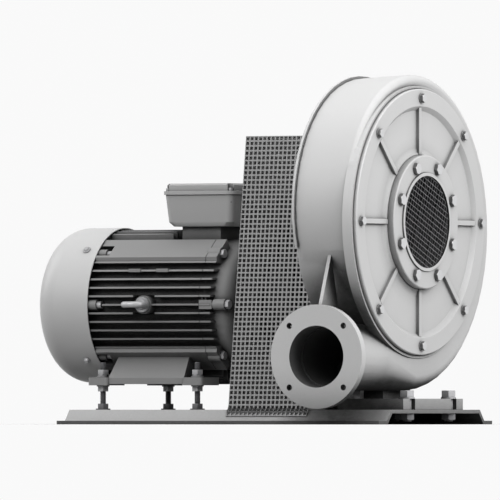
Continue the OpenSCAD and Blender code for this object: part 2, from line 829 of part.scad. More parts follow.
module terminal_lid() color(box_paint) difference() {
    translate([box_x, 0, box_z + box_h + gasket_t]) {
        linear_extrude(lid_edge_h)
            rounded(box_l + 2 * lid_flange, box_w + 2 * lid_flange, box_r + lid_flange);
        hull() {
            linear_extrude(lid_h - 3) rounded(box_l - 3, box_w - 3, box_r, $fn = hull_fn);
            linear_extrude(lid_h) rounded(box_l - 9, box_w - 9, box_r - 3, $fn = hull_fn);
        }
    }
    translate([box_x, 0, box_z + box_h]) linear_extrude(gasket_t + lid_h - 4)
        rounded(box_l - 34, box_w - 34, box_r - 4);
    at_lid_screws() translate([0, 0, box_h]) cylinder(r = lid_screw_d / 2 + 0.5, h = 40);
    // Pockets for the screws' heads
    at_lid_screws() translate([0, 0, box_h + gasket_t + lid_edge_h])
        cylinder(r = 0.8 * lid_screw_d + 1.2, h = 40);
}

module lid_screws() color(steel)
    at_lid_screws() translate([0, 0, box_h + gasket_t + lid_edge_h]) cap_screw(lid_screw_d, 18);

module terminal_board() color(dark) translate([box_x, 0, box_z + box_wall]) {
    translate([0, 0, 4]) linear_extrude(board_t) difference() {
        rounded(board_l, board_w, 4);
        translate([board_hole_x, 0]) circle(3);
        translate([-board_hole_x, 0]) circle(3);
    }
    for (x = [-terminal_x, 0, terminal_x], y = [-terminal_y, terminal_y])
        translate([x, y, board_t + 3]) cylinder(r = 2.5, h = terminal_h);
    for (side = [-1, 1]) translate([side * (board_l / 2 - 5) - 4, -20, 0]) cube([8, 40, 4]);
}

module cable_gland() color(dark)
    translate([gland_x, box_w / 2 - gland_sink, gland_z]) rotate([-90, 0, 0]) difference() {
    union() {
        translate([0, 0, -10]) cylinder(r = gland_r - screw_gap, h = 12);
        translate([0, 0, gland_sink]) hexagon(24, 6);
        translate([0, 0, gland_sink + 6]) cylinder(r = 11, h = 12);
        translate([0, 0, 2]) cylinder(r = gland_r - screw_gap, h = 1);
    }
    translate([0, 0, -11]) cylinder(r = 6.5, h = 40);
}

eye_collar_r = 12.5;
eye_ring_r = 17.5;
eye_bar_r = 5;
eye_thread_r = 5;
eye_thread_l = 20;

module eyebolt() color(steel) translate([eye_x, -fin_r - 2, motor_z]) {
    rotate([90, 0, 0]) {
        translate([0, 0, -eye_thread_l]) cylinder(r = eye_thread_r, h = eye_thread_l);
        cylinder(r = eye_collar_r, h = 5);
        cylinder(r1 = eye_collar_r - 1, r2 = 7, h = 9);
    }
    translate([0, -7 - eye_ring_r - eye_bar_r + 2, 0])
        rotate_extrude() translate([eye_ring_r, 0]) circle(eye_bar_r);
}

// Pulleys and belts

function flank(h) = h * tan(groove_angle);

module groove_outline(r) {
    translate([r, 0]) polygon([
        [1, groove_top + flank(1)], [1, -groove_top - flank(1)],
        [-groove_depth, -groove_top + flank(groove_depth)],
        [-groove_depth, groove_top - flank(groove_depth)]
    ]);
}

function belt_x(i) = pulley_edge + i * belt_pitch;

module pulley(r, shaft_r) {
    difference() {
        rotate_extrude() difference() {
            translate([shaft_r + press_gap, 0]) square([r - shaft_r - press_gap, pulley_w]);
            for (i = [0:belts - 1]) translate([0, belt_x(i)]) groove_outline(r);
            // Dished front face between hub and rim
            if (r - groove_depth - 8 > shaft_r + 18)
                translate([shaft_r + 14, pulley_w - 12]) square([r - groove_depth - 8 - shaft_r - 14, 13]);
        }
        translate([-shaft_r - key_h + key_depth - 0.5, -key_w / 2 - press_gap, -1])
            cube([shaft_r, key_w + 2 * press_gap, pulley_w + 2]);
    }
}

module motor_pulley() color(dark) along_x(pulley_x, motor_z) pulley(motor_pulley_d / 2, shaft_d / 2);
module motor_key() color(steel) key(pulley_x, shaft_d / 2, motor_z);
module blower_pulley() color(dark) along_x(pulley_x, blower_z) pulley(blower_pulley_d / 2, shaft_d / 2);
module blower_key() color(steel) key(pulley_x, shaft_d / 2, blower_z);

belt_r1 = motor_pulley_d / 2 - belt_sink;
belt_r2 = blower_pulley_d / 2 - belt_sink;
belt_angle = asin((belt_r1 - belt_r2) / centre_distance);
// A belt's way round both pulleys: centre height, radius of its back and angle from straight down
function belt_way(n = 24) = concat(
    [for (i = [0:n]) [motor_z, belt_r1, -90 - belt_angle + (180 + 2 * belt_angle) * i / n]],
    [for (i = [0:n]) [blower_z, belt_r2, 90 + belt_angle + (180 - 2 * belt_angle) * i / n]]
);

// Corners of a belt's tapering section: distance from its back and place across its width
belt_top = groove_top - run_gap - flank(belt_sink);
belt_section = [
    [0, belt_top], [0, -belt_top], [belt_t, -belt_top + flank(belt_t)], [belt_t, belt_top - flank(belt_t)]
];

module belt() {
    way = belt_way();
    points = [for (w = way, c = belt_section)
        let (r = w[1] - c[0])
        [c[1], r * sin(w[2]), w[0] - r * cos(w[2])]];
    n = len(way);
    faces = [for (k = [0:n - 1], i = [0:3])
        [4 * k + i, 4 * k + (i + 1) % 4, 4 * ((k + 1) % n) + (i + 1) % 4, 4 * ((k + 1) % n) + i]];
    polyhedron(points, faces, convexity = 4);
}

module v_belts() color(dark)
    for (i = [0:belts - 1]) translate([pulley_x + belt_x(i), 0, 0]) belt();

// Blower shaft and bearings

blower_bearings = [housing_x + 6, casing_x - ring_w - 8];
hub_x = casing_x + back_wall + 8;
hub_l = 34;
nut_x = hub_x + hub_l;

module blower_shaft() color(steel) difference() {
    union() {
        along_x(pulley_x - 6, blower_z) cylinder(d = shaft_d, h = blower_bearings[0] - pulley_x + 7);
        along_x(blower_bearings[0], blower_z)
            cylinder(r = race_r, h = blower_bearings[1] + ring_w - blower_bearings[0]);
        along_x(blower_bearings[0] + ring_w, blower_z)
            cylinder(r = race_r + 3, h = blower_bearings[1] - blower_bearings[0] - ring_w);
        along_x(blower_bearings[1], blower_z) cylinder(d = shaft_d, h = nut_x - blower_bearings[1]);
        along_x(nut_x - 1, blower_z) cylinder(r = 10, h = 20);
    }
    keyway(pulley_x, shaft_d / 2, blower_z);
}

module blower_outer_rings() color(steel) for (x = blower_bearings) along_x(x, blower_z) outer_ring();
module blower_inner_rings() color(steel) for (x = blower_bearings) along_x(x, blower_z) inner_ring();
module blower_balls() color(steel) for (x = blower_bearings) along_x(x, blower_z) ball_set();

housing_bolt_r = 68;
housing_bolt_d = 10;
cap_screw_d = 5;
cap_t = 5;

module bearing_housing() color(light_paint) along_x(housing_x, blower_z) difference() {
    union() {
        cylinder(r = housing_r, h = housing_l);
        translate([0, 0, housing_l - housing_flange_t]) cylinder(r = housing_flange_r, h = housing_flange_t);
        // Webs from the barrel to the flange
        for (a = [0:90:270]) rotate(a) rotate([90, 0, 0]) translate([0, 0, -4]) linear_extrude(8) polygon([
            [housing_r - 4, 12], [housing_r + 1, 12],
            [housing_flange_r - 1, housing_l - housing_flange_t + 1],
            [housing_r - 4, housing_l - housing_flange_t + 1]
        ]);
    }
    translate([0, 0, -1]) cylinder(r = race_r + 6, h = housing_l + 2);
    translate([0, 0, -1]) cylinder(r = ring_r + press_gap, h = ring_w + 7);
    translate([0, 0, housing_l - ring_w - 8]) cylinder(r = ring_r + press_gap, h = ring_w + 9);
    ring_of(4, housing_bolt_r, 45) translate([0, 0, housing_l - housing_flange_t - 1])
        cylinder(r = housing_bolt_d / 2 + 0.5, h = housing_flange_t + 2);
    ring_of(4, housing_r - 6, 45) translate([0, 0, -1]) cylinder(r = cap_screw_d / 2 + screw_gap, h = 14);
}

module bearing_cap() color(light_paint) along_x(housing_x - cap_t, blower_z) {
    difference() {
        cylinder(r = housing_r, h = cap_t);
        translate([0, 0, -1]) cylinder(d = shaft_d + 2 * run_gap, h = cap_t + 2);
        ring_of(4, housing_r - 6, 45) translate([0, 0, -1])
            cylinder(r = cap_screw_d / 2 + screw_gap, h = cap_t + 2);
    }
    translate([0, 0, cap_t]) tube(ring_r - seat_gap, ring_r - 5, 6 - seat_gap);
}

module housing_bolts() color(steel) {
    along_x(casing_x - housing_flange_t, blower_z) mirror([0, 0, 1]) ring_of(4, housing_bolt_r, 45)
        hex_bolt(housing_bolt_d, 17, 6.5, housing_flange_t + back_wall);
    along_x(housing_x - cap_t, blower_z) mirror([0, 0, 1]) ring_of(4, housing_r - 6, 45)
        cap_screw(cap_screw_d, 16);
}

module shaft_seal() color(dark) along_x(casing_x - 7, blower_z) difference() {
    cylinder(r = ring_r - seat_gap, h = 7);
    translate([0, 0, -1]) cylinder(d = shaft_d + 2 * run_gap, h = 9);
}

// Impeller

// Place of the back disc on the hub
disc_x = 4;
hub_r = 32;
tip_w = 26;
eye_w = 44;
disc_t = 4;
shroud_x = disc_x + disc_t;
eye_r = inlet_bore_r + 3;

// One backward-curved blade from the eye to the rim, as an arc of a circle
module blade_outline() {
    blade_r = 130;
    intersection() {
        difference() {
            circle(impeller_r - 1);
            circle(eye_r - 18);
        }
        translate([-10, -blade_r + 40]) difference() {
            circle(blade_r + 2);
            circle(blade_r - 2);
            translate([-400, -200]) square([400, 400]);
        }
    }
}

module impeller() color(laminate) along_x(hub_x, blower_z) difference() {
    union() {
        cylinder(r = hub_r, h = hub_l);
        translate([0, 0, disc_x]) cylinder(r = impeller_r, h = disc_t);
        intersection() {
            translate([0, 0, disc_x]) linear_extrude(eye_w + disc_t)
                for (i = [0:blades - 1]) rotate(360 * i / blades) blade_outline();
            rotate_extrude() polygon([
                [0, disc_x], [impeller_r, disc_x], [impeller_r, disc_x + disc_t + tip_w],
                [eye_r, disc_x + disc_t + eye_w], [0, disc_x + disc_t + eye_w]
            ]);
        }
        // Tapering front shroud
        rotate_extrude() polygon([
            [impeller_r, shroud_x + tip_w], [impeller_r, shroud_x + 2.5 + tip_w],
            [eye_r + 6, shroud_x + 2.5 + eye_w], [eye_r + 3, shroud_x + 8 + eye_w],
            [eye_r, shroud_x + 8 + eye_w], [eye_r, shroud_x - 1 + eye_w]
        ]);
    }
    translate([0, 0, -1]) cylinder(r = shaft_d / 2 + press_gap, h = hub_l + 2);
}

module impeller_nut() color(steel) along_x(nut_x, blower_z) {
    tube(26, 10 + screw_gap, 4);
    translate([0, 0, 4]) nut(20, 30, 13);
}

// Casing

function share(phi) = (phi - scroll_start) / (scroll_end - scroll_start);
function scroll_r(phi) = scroll_r0 + (scroll_r1 - scroll_r0) * pow(share(phi), 0.68);
function corner_r(phi) = corner_r0 + (corner_r1 - corner_r0) * pow(share(phi), 2);
function draft(phi) = 3 * (1 - pow(share(phi), 2));
function half_w(phi) = scroll_w + (outlet_bore_r + wall - scroll_w) * pow(share(phi), 3);
function shift(phi) = outlet_shift * pow(share(phi), 3);

// Half a rounded box of half width w from radius low out to r, with corners f and lean d of its outer face
function box_section(w, r, f, d, low, n = 6) = concat(
    [[-w, low]],
    [for (i = [0:n]) let (a = 180 - 90 * i / n) [-w + f + f * cos(a), r - d - f + f * sin(a)]],
    [for (i = [0:n]) let (a = 90 - 90 * i / n) [w - f + f * cos(a), r + d - f + f * sin(a)]],
    [[w, low]]
);

function inner_corner(f, inset) = max(f - inset, 4);

// Section of the scroll at angle phi, set in by inset
function scroll_section(phi, inset, low) = box_section(
    half_w(phi) - inset, scroll_r(phi) - inset, inner_corner(corner_r(phi), inset), draft(phi), low);

// The bead along the back edge, as a section of the same kind
function bead_section(phi) =
    let (x = half_w(phi), r = scroll_r(phi) - draft(phi))
    [[0.4 - x, r - 9.5], [0.4 - x, r + bead_h - 3], [1.2 - x, r + bead_h - 0.8], [2.5 - x, r + bead_h],
    [bead_w - 0.8 - x, r + bead_h - 0.3], [bead_w - x, r - 3]];

// Skins sections that all have the same number of corners
module skin(rings) {
    m = len(rings[0]);
    last = len(rings) - 1;
    sides = [for (k = [0:last - 1], i = [0:m - 1])
        [k * m + i, (k + 1) * m + i, (k + 1) * m + (i + 1) % m, k * m + (i + 1) % m]];
    ends = [[for (i = [0:m - 1]) i], [for (i = [m - 1:-1:0]) last * m + i]];
    polyhedron([for (r = rings) for (p = r) p], concat(sides, ends), convexity = 8);
}

function around(phi, sections) = [for (p = sections)
    [scroll_x + shift(phi) + p[0], -cos(phi) * p[1], blower_z + sin(phi) * p[1]]];

function stations(from, to, steps) = [for (k = [0:steps]) from + (to - from) * k / steps];

// Section a distance l along the pipe, as the wide end becomes round and then tapers into the pipe
function blend_section(l, inset) =
    let (t = min(l / blend_l, 1), taper = max(l - blend_l, 0))
    let (end_w = outlet_bore_r + wall, f = corner_r1 + (end_w - corner_r1) * t)
    let (w = end_w - inset - taper, corner = min(inner_corner(f, inset), w))
    [for (p = box_section(w, scroll_r1 - inset - taper, corner, 0, blower_z - outlet_z))
        [outlet_x + p[0], -l, blower_z - p[1]]];

module scroll(inset, low, from) skin(concat(
    [for (phi = stations(from, scroll_end, 44)) around(phi, scroll_section(phi, inset, low))],
    [for (l = stations(blend_l / 6, blend_l, 5)) blend_section(l, inset)],
    [blend_section(blend_l + 8, inset)]
));

module back_bead() skin([for (phi = stations(bead_start, bead_end, 36)) around(phi, bead_section(phi))]);

module outlet_pipe(y, r, l) translate([outlet_x, y, outlet_z]) rotate([90, 0, 0]) cylinder(r = r, h = l);

module casing_body() {
    along_x(casing_x, blower_z) cylinder(r = scroll_r0 - 2, h = casing_w - 3);
    scroll(0, 180, scroll_start);
    back_bead();
    outlet_pipe(1, pipe_r, outlet_y);
    outlet_pipe(outlet_t - outlet_y, outlet_r, outlet_t);
    // Rounded neck behind the flange
    translate([outlet_x, outlet_t - outlet_y, outlet_z]) rotate([-90, 0, 0])
        cylinder(r1 = pipe_r + 6, r2 = pipe_r - 1, h = 8);
    // Gusset from the outlet flange up to the scroll
    section(outlet_x - gusset_t / 2, gusset_t) polygon([
        [outlet_t - outlet_y, outlet_z + outlet_r],
        [-scroll_r0 - 20, blower_z - 61],
        [-scroll_r0 + 5, blower_z - 55],
        [-scroll_r0 + 40, outlet_z + 40],
        [outlet_t - outlet_y, outlet_z + 40]
    ]);
    casing_foot();
}

module casing_foot() {
    translate([foot_x0, -foot_half, base_h]) cube([foot_x1 - foot_x0, 2 * foot_half, foot_t]);
    translate([foot_x0 + 18, -pedestal_w / 2, base_h]) cube([pedestal_l, pedestal_w, pedestal_h]);
}

module casing() color(light_paint) difference() {
    union() {
        difference() {
            casing_body();
            along_x(casing_x + back_wall, blower_z) cylinder(r = drum_r, h = casing_w + 40);
            scroll(wall + pipe_step, 176, scroll_start + 2);
            translate([0, 2, 0]) outlet_pipe(0, cast_r, outlet_y + 5);
            outlet_pipe(mouth_l - outlet_y, outlet_bore_r, mouth_l + 5);
        }
        along_x(seat_x - lip_t, blower_z) tube(collar_r, lip_r, lip_t + collar_rise);
        // Ring that stiffens the back wall round the bearing housing
        along_x(casing_x, blower_z) tube(housing_flange_r + 6, ring_r + seat_gap, back_wall + 2);
    }
    along_x(seat_x, blower_z) cylinder(r = cover_r + 1, h = 40);
    along_x(casing_x - 1, blower_z) cylinder(r = ring_r + seat_gap, h = 20);
    along_x(casing_x - 1, blower_z) ring_of(4, housing_bolt_r, 45)
        cylinder(r = housing_bolt_d / 2 + screw_gap, h = 20);
    along_x(seat_x - 40, blower_z) ring_of(cover_ribs, cover_pcd / 2)
        cylinder(r = cover_bolt_d / 2 + screw_gap, h = 60);
    translate([outlet_x, 0, outlet_z]) rotate([90, 0, 0]) ring_of(4, outlet_pcd / 2, 45)
        translate([0, 0, outlet_y - outlet_t - 1]) cylinder(d = outlet_hole_d, h = outlet_t + 2);
    for (y = [-foot_slot_y, foot_slot_y]) {
        translate([foot_bolt_x[0], y, base_h - 1]) {
            cylinder(d = foot_slot_w, h = foot_t + 2);
            translate([0, -foot_slot_w / 2, 0]) cube([40, foot_slot_w, foot_t + 2]);
        }
        translate([foot_bolt_x[1], y, base_h - 1]) cylinder(d = foot_slot_w, h = foot_t + 2);
    }
}

foot_washer_t = 2.5;
foot_head_h = 11;
foot_washer_r = 12.5;
foot_bolt_af = 22;

module casing_bolts() color(steel) at_foot_bolts() {
    translate([0, 0, base_h + foot_t + foot_washer_t])
        hex_bolt(foot_bolt_d, foot_bolt_af, foot_head_h, foot_t + foot_washer_t + base_sheet + 13);
    translate([0, 0, base_h + foot_t])
        tube(foot_washer_r, foot_bolt_d / 2 + screw_gap, foot_washer_t - 0.01);
}

module casing_bolt_nuts() color(steel) at_foot_bolts()
    translate([0, 0, base_h - base_sheet]) mirror([0, 0, 1]) nut(foot_bolt_d, foot_bolt_af, 11);

// Cover and inlet

spigot = 4;
// Heights of the rim, the sunk panel and the central boss above the cover's seat
rim_h = cover_t - gasket_t;
panel_h = rim_h - panel_sink;
boss_top = panel_h + boss_h;
cover_rib_t = 8;
cover_bore_r = inlet_bore_r + 4.5;

module cover() color(light_paint) along_x(seat_x + gasket_t, blower_z) difference() {
    union() {
        rotate_extrude($fn = 96) polygon([
            [0, -spigot - gasket_t],
            [lip_r - run_gap, -spigot - gasket_t],
            [lip_r - run_gap, 0],
            [cover_r, 0],
            [cover_r, rim_h - 1.5],
            [cover_r - 1.5, rim_h],
            [cover_r - 28, rim_h],
            [cover_r - 35, panel_h],
            [inlet_r + 12, panel_h],
            [inlet_r + 5, panel_h + 1.5],
            [inlet_r + 2, boss_top],
            [0, boss_top]
        ]);
        for (i = [0:cover_ribs - 1]) rotate(360 * i / cover_ribs)
            rotate([90, 0, 0]) translate([0, 0, -cover_rib_t / 2]) linear_extrude(cover_rib_t) polygon([
                [inlet_r - 2, 4], [cover_r - 30, 4], [cover_r - 30, rim_h - 1], [inlet_r - 2, rim_h - 1]
            ]);
    }
    translate([0, 0, boss_top]) cylinder(r = inlet_r + seat_gap, h = 30);
    translate([0, 0, -20]) cylinder(r = cover_bore_r, h = 60);
    ring_of(cover_ribs, cover_pcd / 2) translate([0, 0, -10]) cylinder(r = cover_bolt_d / 2 + 0.5, h = 40);
    ring_of(inlet_bolts, flange_pcd / 2, inlet_turn) translate([0, 0, -10])
        cylinder(r = inlet_bolt_d / 2 + screw_gap, h = 40);
}

module cover_gasket() color(dark) along_x(seat_x, blower_z) difference() {
    tube(cover_r - 1, drum_r + 1, gasket_t);
    ring_of(cover_ribs, cover_pcd / 2) translate([0, 0, -1]) cylinder(r = cover_bolt_d / 2 + 0.5, h = 4);
}

cover_washer_t = 1.6;

module cover_bolts() color(steel) along_x(rim_x + cover_washer_t, blower_z)
    ring_of(cover_ribs, cover_pcd / 2) hex_bolt(cover_bolt_d, 13, 5.5, cover_t + lip_t);

module cover_washers() color(steel) along_x(rim_x, blower_z)
    ring_of(cover_ribs, cover_pcd / 2) tube(cover_bolt_d, cover_bolt_d / 2 + screw_gap, cover_washer_t);

screen_seat = 1.5;
ring_out = inlet_bore_r + 5.5;

module inlet_flange() color(light_paint) along_x(inlet_x - inlet_t, blower_z) difference() {
    union() {
        rotate_extrude($fn = 96) polygon([
            [0, 0], [inlet_r, 0], [inlet_r, inlet_t - 1.5], [inlet_r - 1.5, inlet_t], [0, inlet_t]
        ]);
        translate([0, 0, -nozzle_l]) cylinder(r = inlet_bore_r + 1, h = nozzle_l + 1);
        translate([0, 0, -boss_h - 4]) cylinder(r = cover_bore_r - seat_gap, h = boss_h + 5);
    }
    translate([0, 0, -nozzle_l - 1]) cylinder(r = inlet_bore_r - 3, h = nozzle_l + inlet_t + 2);
    translate([0, 0, inlet_t - 6]) cylinder(r1 = inlet_bore_r - 3, r2 = inlet_bore_r, h = 6.01);
    translate([0, 0, inlet_t - screen_seat]) cylinder(r = ring_out + seat_gap, h = 5);
    ring_of(inlet_bolts, flange_pcd / 2, inlet_turn) translate([0, 0, -1])
        cylinder(r = inlet_bolt_d / 2 + 0.5, h = 20);
}

impeller_eye_x = hub_x + 12 + disc_t + eye_w;
nozzle_l = inlet_x - inlet_t - impeller_eye_x + 5;

module inlet_flange_bolts() color(steel) along_x(inlet_x, blower_z)
    ring_of(inlet_bolts, flange_pcd / 2, inlet_turn) hex_bolt(inlet_bolt_d, 17, 6.5, inlet_t + boss_h + 6);

mesh_pitch = 18;
mesh_wire = 3;
screen_t = 1;

module inlet_screen() color(steel) along_x(inlet_x - screen_seat, blower_z)
    linear_extrude(screen_t) difference() {
    circle(ring_out);
    intersection() {
        circle(inlet_bore_r - 2);
        rotate(20) for (i = [-4:4], j = [-4:4])
            translate([i * mesh_pitch, j * mesh_pitch]) square(mesh_pitch - mesh_wire, center = true);
    }
}

module screen_ring() color(steel) along_x(inlet_x - screen_seat + screen_t, blower_z)
    tube(ring_out, inlet_bore_r, 3);

// Belt guard

module guard_outline(inset, lip) {
    low = base_h - lip;
    step = lip * base_flank / base_h;
    polygon([
        [-guard_base - guard_sheet + inset - step, low], [-guard_base - guard_sheet + inset, base_h],
        [-guard_top + inset, base_h + guard_h - inset], [guard_top - inset, base_h + guard_h - inset],
        [guard_base + guard_sheet - inset, base_h], [guard_base + guard_sheet - inset + step, low]
    ]);
}

guard_slope = guard_h / cos(guard_lean);
guard_hole = guard_pitch * guard_open;
// Feet folded from the end plates
fold_l = 22;
fold_w = 80;
fold_y = 90;

// Columns and rows of square holes over a panel
module hole_grid(l, w) {
    columns = floor((l - 6) / guard_pitch);
    rows = floor((w - 6) / guard_pitch);
    translate([(l - columns * guard_pitch) / 2, (w - rows * guard_pitch) / 2])
        for (i = [0:columns - 1], j = [0:rows - 1])
            translate([(i + 0.5) * guard_pitch, (j + 0.5) * guard_pitch]) square(guard_hole, center = true);
}

module belt_guard() color(guard_paint) difference() {
    section(guard_x, guard_l) difference() {
        guard_outline(0, guard_lip);
        guard_outline(guard_sheet, guard_lip);
        translate([-guard_base - 40, -1]) square([2 * guard_base + 80, 1]);
    }
    for (side = [0, 1]) mirror([0, side, 0])
        translate([guard_x, -guard_base - guard_sheet, base_h]) rotate([90 - guard_lean, 0, 0])
            translate([0, 0, -3 * guard_sheet]) linear_extrude(5 * guard_sheet)
                hole_grid(guard_l, guard_slope);
    translate([guard_x, -guard_top, base_h + guard_h - 2 * guard_sheet]) linear_extrude(4 * guard_sheet)
        hole_grid(guard_l, 2 * guard_top);
}

// An end plate that fits inside the guard, with a foot folded in along the base
module guard_plate(x, fold) {
    section(x, guard_sheet) difference() {
        guard_outline(guard_sheet + seat_gap, 0);
        translate([-400, base_h - 100]) square([800, 100]);
    }
    for (side = [-1, 1])
        translate([fold > 0 ? x : x - fold_l + guard_sheet, side * fold_y - fold_w / 2, base_h])
            cube([fold_l, fold_w, guard_sheet]);
}

module at_guard_screws() {
    for (x = [guard_x + 14, guard_x + guard_l - 14], y = [-fold_y, fold_y]) translate([x, y, 0]) children();
}

module guard_motor_plate() color(guard_paint) difference() {
    guard_plate(guard_x, 1);
    translate([guard_x - 1, 0, motor_z]) rotate([0, 90, 0]) {
        slot_r = 55;
        translate([-slide_up, 0, 0]) cylinder(r = slot_r, h = 10);
        translate([slide_down, 0, 0]) cylinder(r = slot_r, h = 10);
        translate([-slide_up, -slot_r, 0]) cube([slide_up + slide_down, 2 * slot_r, 10]);
    }
    at_guard_screws() translate([0, 0, base_h - 1]) cylinder(r = guard_screw_d / 2 + 0.2, h = 6);
}

module guard_casing_plate() color(guard_paint) difference() {
    guard_plate(guard_x + guard_l - guard_sheet, -1);
    along_x(casing_x - 20, blower_z) cylinder(r = housing_flange_r + 1, h = 40);
    at_guard_screws() translate([0, 0, base_h - 1]) cylinder(r = guard_screw_d / 2 + 0.2, h = 6);
}

module guard_screws() color(steel) at_guard_screws() translate([0, 0, base_h + guard_sheet])
    hex_bolt(guard_screw_d, 10, 4, 13);

base_plate();
jacking_studs();
base_nuts();
base_washers();
stator_frame();
motor_feet();
foot_screws();
adjusting_nuts();
adjusting_washers();
drive_end_shield();
fan_end_shield();
shield_bolts();
fan_cowl();
cowl_screws();
stator_core();
stator_windings();
terminal_box();
terminal_lid();
lid_gasket();
lid_screws();
terminal_board();
cable_gland();
eyebolt();
motor_outer_rings();
motor_shaft();
rotor_core();
cooling_fan();
motor_pulley();
motor_key();
motor_inner_rings();
motor_balls();
v_belts();
blower_pulley();
blower_key();
blower_shaft();
impeller();
impeller_nut();
blower_inner_rings();
blower_balls();
blower_outer_rings();
bearing_housing();
bearing_cap();
housing_bolts();
shaft_seal();
casing();
casing_bolts();
casing_bolt_nuts();
cover();
cover_gasket();
cover_bolts();
cover_washers();
inlet_flange();
inlet_flange_bolts();
inlet_screen();
screen_ring();
belt_guard();
guard_motor_plate();
guard_casing_plate();
guard_screws();
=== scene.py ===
import json
import math

import bmesh
import bpy
from mathutils import Matrix, Vector


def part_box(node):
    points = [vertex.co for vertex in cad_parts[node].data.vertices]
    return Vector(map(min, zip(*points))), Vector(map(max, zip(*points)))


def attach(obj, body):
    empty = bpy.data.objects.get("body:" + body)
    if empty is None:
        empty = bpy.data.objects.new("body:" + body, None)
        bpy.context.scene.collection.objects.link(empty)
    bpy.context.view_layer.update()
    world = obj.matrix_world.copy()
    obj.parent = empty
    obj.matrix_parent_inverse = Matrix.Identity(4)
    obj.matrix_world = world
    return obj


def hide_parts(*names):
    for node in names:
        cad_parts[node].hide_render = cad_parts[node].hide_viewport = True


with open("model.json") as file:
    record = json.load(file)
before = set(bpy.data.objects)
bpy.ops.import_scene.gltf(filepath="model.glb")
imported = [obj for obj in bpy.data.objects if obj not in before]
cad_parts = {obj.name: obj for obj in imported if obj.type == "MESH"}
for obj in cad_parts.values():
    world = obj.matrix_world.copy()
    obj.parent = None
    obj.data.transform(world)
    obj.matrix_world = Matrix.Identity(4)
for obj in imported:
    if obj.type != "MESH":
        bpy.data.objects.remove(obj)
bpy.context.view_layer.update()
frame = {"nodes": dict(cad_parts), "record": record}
nodes = frame["nodes"]
MM = 0.001


# Shader node helpers

def group(name, inputs, outputs):
    """An empty shader node group with named number or colour sockets."""
    tree = bpy.data.node_groups.new(name, "ShaderNodeTree")
    for direction, sockets in (("INPUT", inputs), ("OUTPUT", outputs)):
        for label, value in sockets:
            kind = "NodeSocketColor" if value == "colour" else "NodeSocketFloat"
            socket = tree.interface.new_socket(label, in_out=direction, socket_type=kind)
            if direction == "INPUT" and value != "colour":
                socket.default_value = value
    return tree, tree.nodes.new("NodeGroupInput"), tree.nodes.new("NodeGroupOutput")


def link(tree, a, b):
    tree.links.new(a, b)


def noise(tree, scale, detail, roughness=0.5, stretch=None):
    """A noise texture on Object coordinates, optionally stretched."""
    place = tree.nodes.new("ShaderNodeTexCoord")
    texture = tree.nodes.new("ShaderNodeTexNoise")
    texture.inputs["Scale"].default_value = scale
    texture.inputs["Detail"].default_value = detail
    texture.inputs["Roughness"].default_value = roughness
    source = place.outputs["Object"]
    if stretch:
        mapping = tree.nodes.new("ShaderNodeMapping")
        mapping.inputs["Scale"].default_value = stretch
        link(tree, source, mapping.inputs["Vector"])
        source = mapping.outputs["Vector"]
    link(tree, source, texture.inputs["Vector"])
    return texture.outputs["Fac"]


def maths(tree, operation, a, b):
    node = tree.nodes.new("ShaderNodeMath")
    node.operation = operation
    for socket, value in zip(node.inputs, (a, b)):
        if isinstance(value, (int, float)):
            socket.default_value = value
        else:
            link(tree, value, socket)
    return node.outputs[0]


def ranged(tree, value, low, high, to_low, to_high):
    """A value that runs from to_low to to_high while the given one runs from low to high."""
    node = tree.nodes.new("ShaderNodeMapRange")
    link(tree, value, node.inputs["Value"])
    limits = {"From Min": low, "From Max": high, "To Min": to_low, "To Max": to_high}
    for label, number in limits.items():
        if isinstance(number, (int, float)):
            node.inputs[label].default_value = number
        else:
            link(tree, number, node.inputs[label])
    return node.outputs["Result"]


def mixed(tree, share, a, b, blend="MIX"):
    node = tree.nodes.new("ShaderNodeMix")
    node.data_type = "RGBA"
    node.blend_type = blend
    for label, value in (("Factor", share), ("A", a), ("B", b)):
        socket = [s for s in node.inputs if s.name == label and s.enabled][0]
        if isinstance(value, (int, float)):
            socket.default_value = value
        elif isinstance(value, tuple):
            socket.default_value = (*value, 1)
        else:
            link(tree, value, socket)
    return [s for s in node.outputs if s.enabled][0]


def split(tree, vector, axis):
    node = tree.nodes.new("ShaderNodeSeparateXYZ")
    link(tree, vector, node.inputs[0])
    return node.outputs[axis]


def coordinate(tree, axis):
    """One of the surface's Object coordinates."""
    return split(tree, tree.nodes.new("ShaderNodeTexCoord").outputs["Object"], axis)


def facing(tree, axis):
    """How far the surface looks along an axis, from -1 to 1."""
    return split(tree, tree.nodes.new("ShaderNodeNewGeometry").outputs["Normal"], axis)


def darkened(tree, colour, clouds, amount):
    """A colour that a noise makes darker, by the given amount where the noise is 1."""
    darker = maths(tree, "SUBTRACT", 1.0, maths(tree, "MULTIPLY", amount, clouds))
    shade = tree.nodes.new("ShaderNodeCombineColor")
    for channel in shade.inputs:
        link(tree, darker, channel)
    return mixed(tree, 1.0, colour, shade.outputs[0], "MULTIPLY")


# Surfaces: painted shade in corners, sprayed paint and metal

# Near-black colour of the painted shade in corners and hollows
shade_black = (0.004, 0.004, 0.004)
dust_colour = (0.62, 0.61, 0.59)


def make_corner_shade_group():
    """Painted shade in corners, joints and hollows, from ambient occlusion: 0 in the open, 1 where little light
    gets in.
    """
    tree, given, result = group(
        "corner_shade", [("Reach", 0.02), ("ShadeStrength", 0.5), ("Closed", 0.25)], [("Mask", 0.0)])
    hollow = tree.nodes.new("ShaderNodeAmbientOcclusion")
    hollow.samples = 8
    link(tree, given.outputs["Reach"], hollow.inputs["Distance"])
    closed = ranged(tree, hollow.outputs["AO"], given.outputs["Closed"], 0.95, 1.0, 0.0)
    patchy = ranged(tree, noise(tree, 70, 4, 0.6), 0.3, 0.7, 0.95, 1.0)
    mask = maths(tree, "MULTIPLY", maths(tree, "MULTIPLY", closed, patchy), given.outputs["ShadeStrength"])
    link(tree, mask, result.inputs["Mask"])
    return tree


corner_shade = make_corner_shade_group()


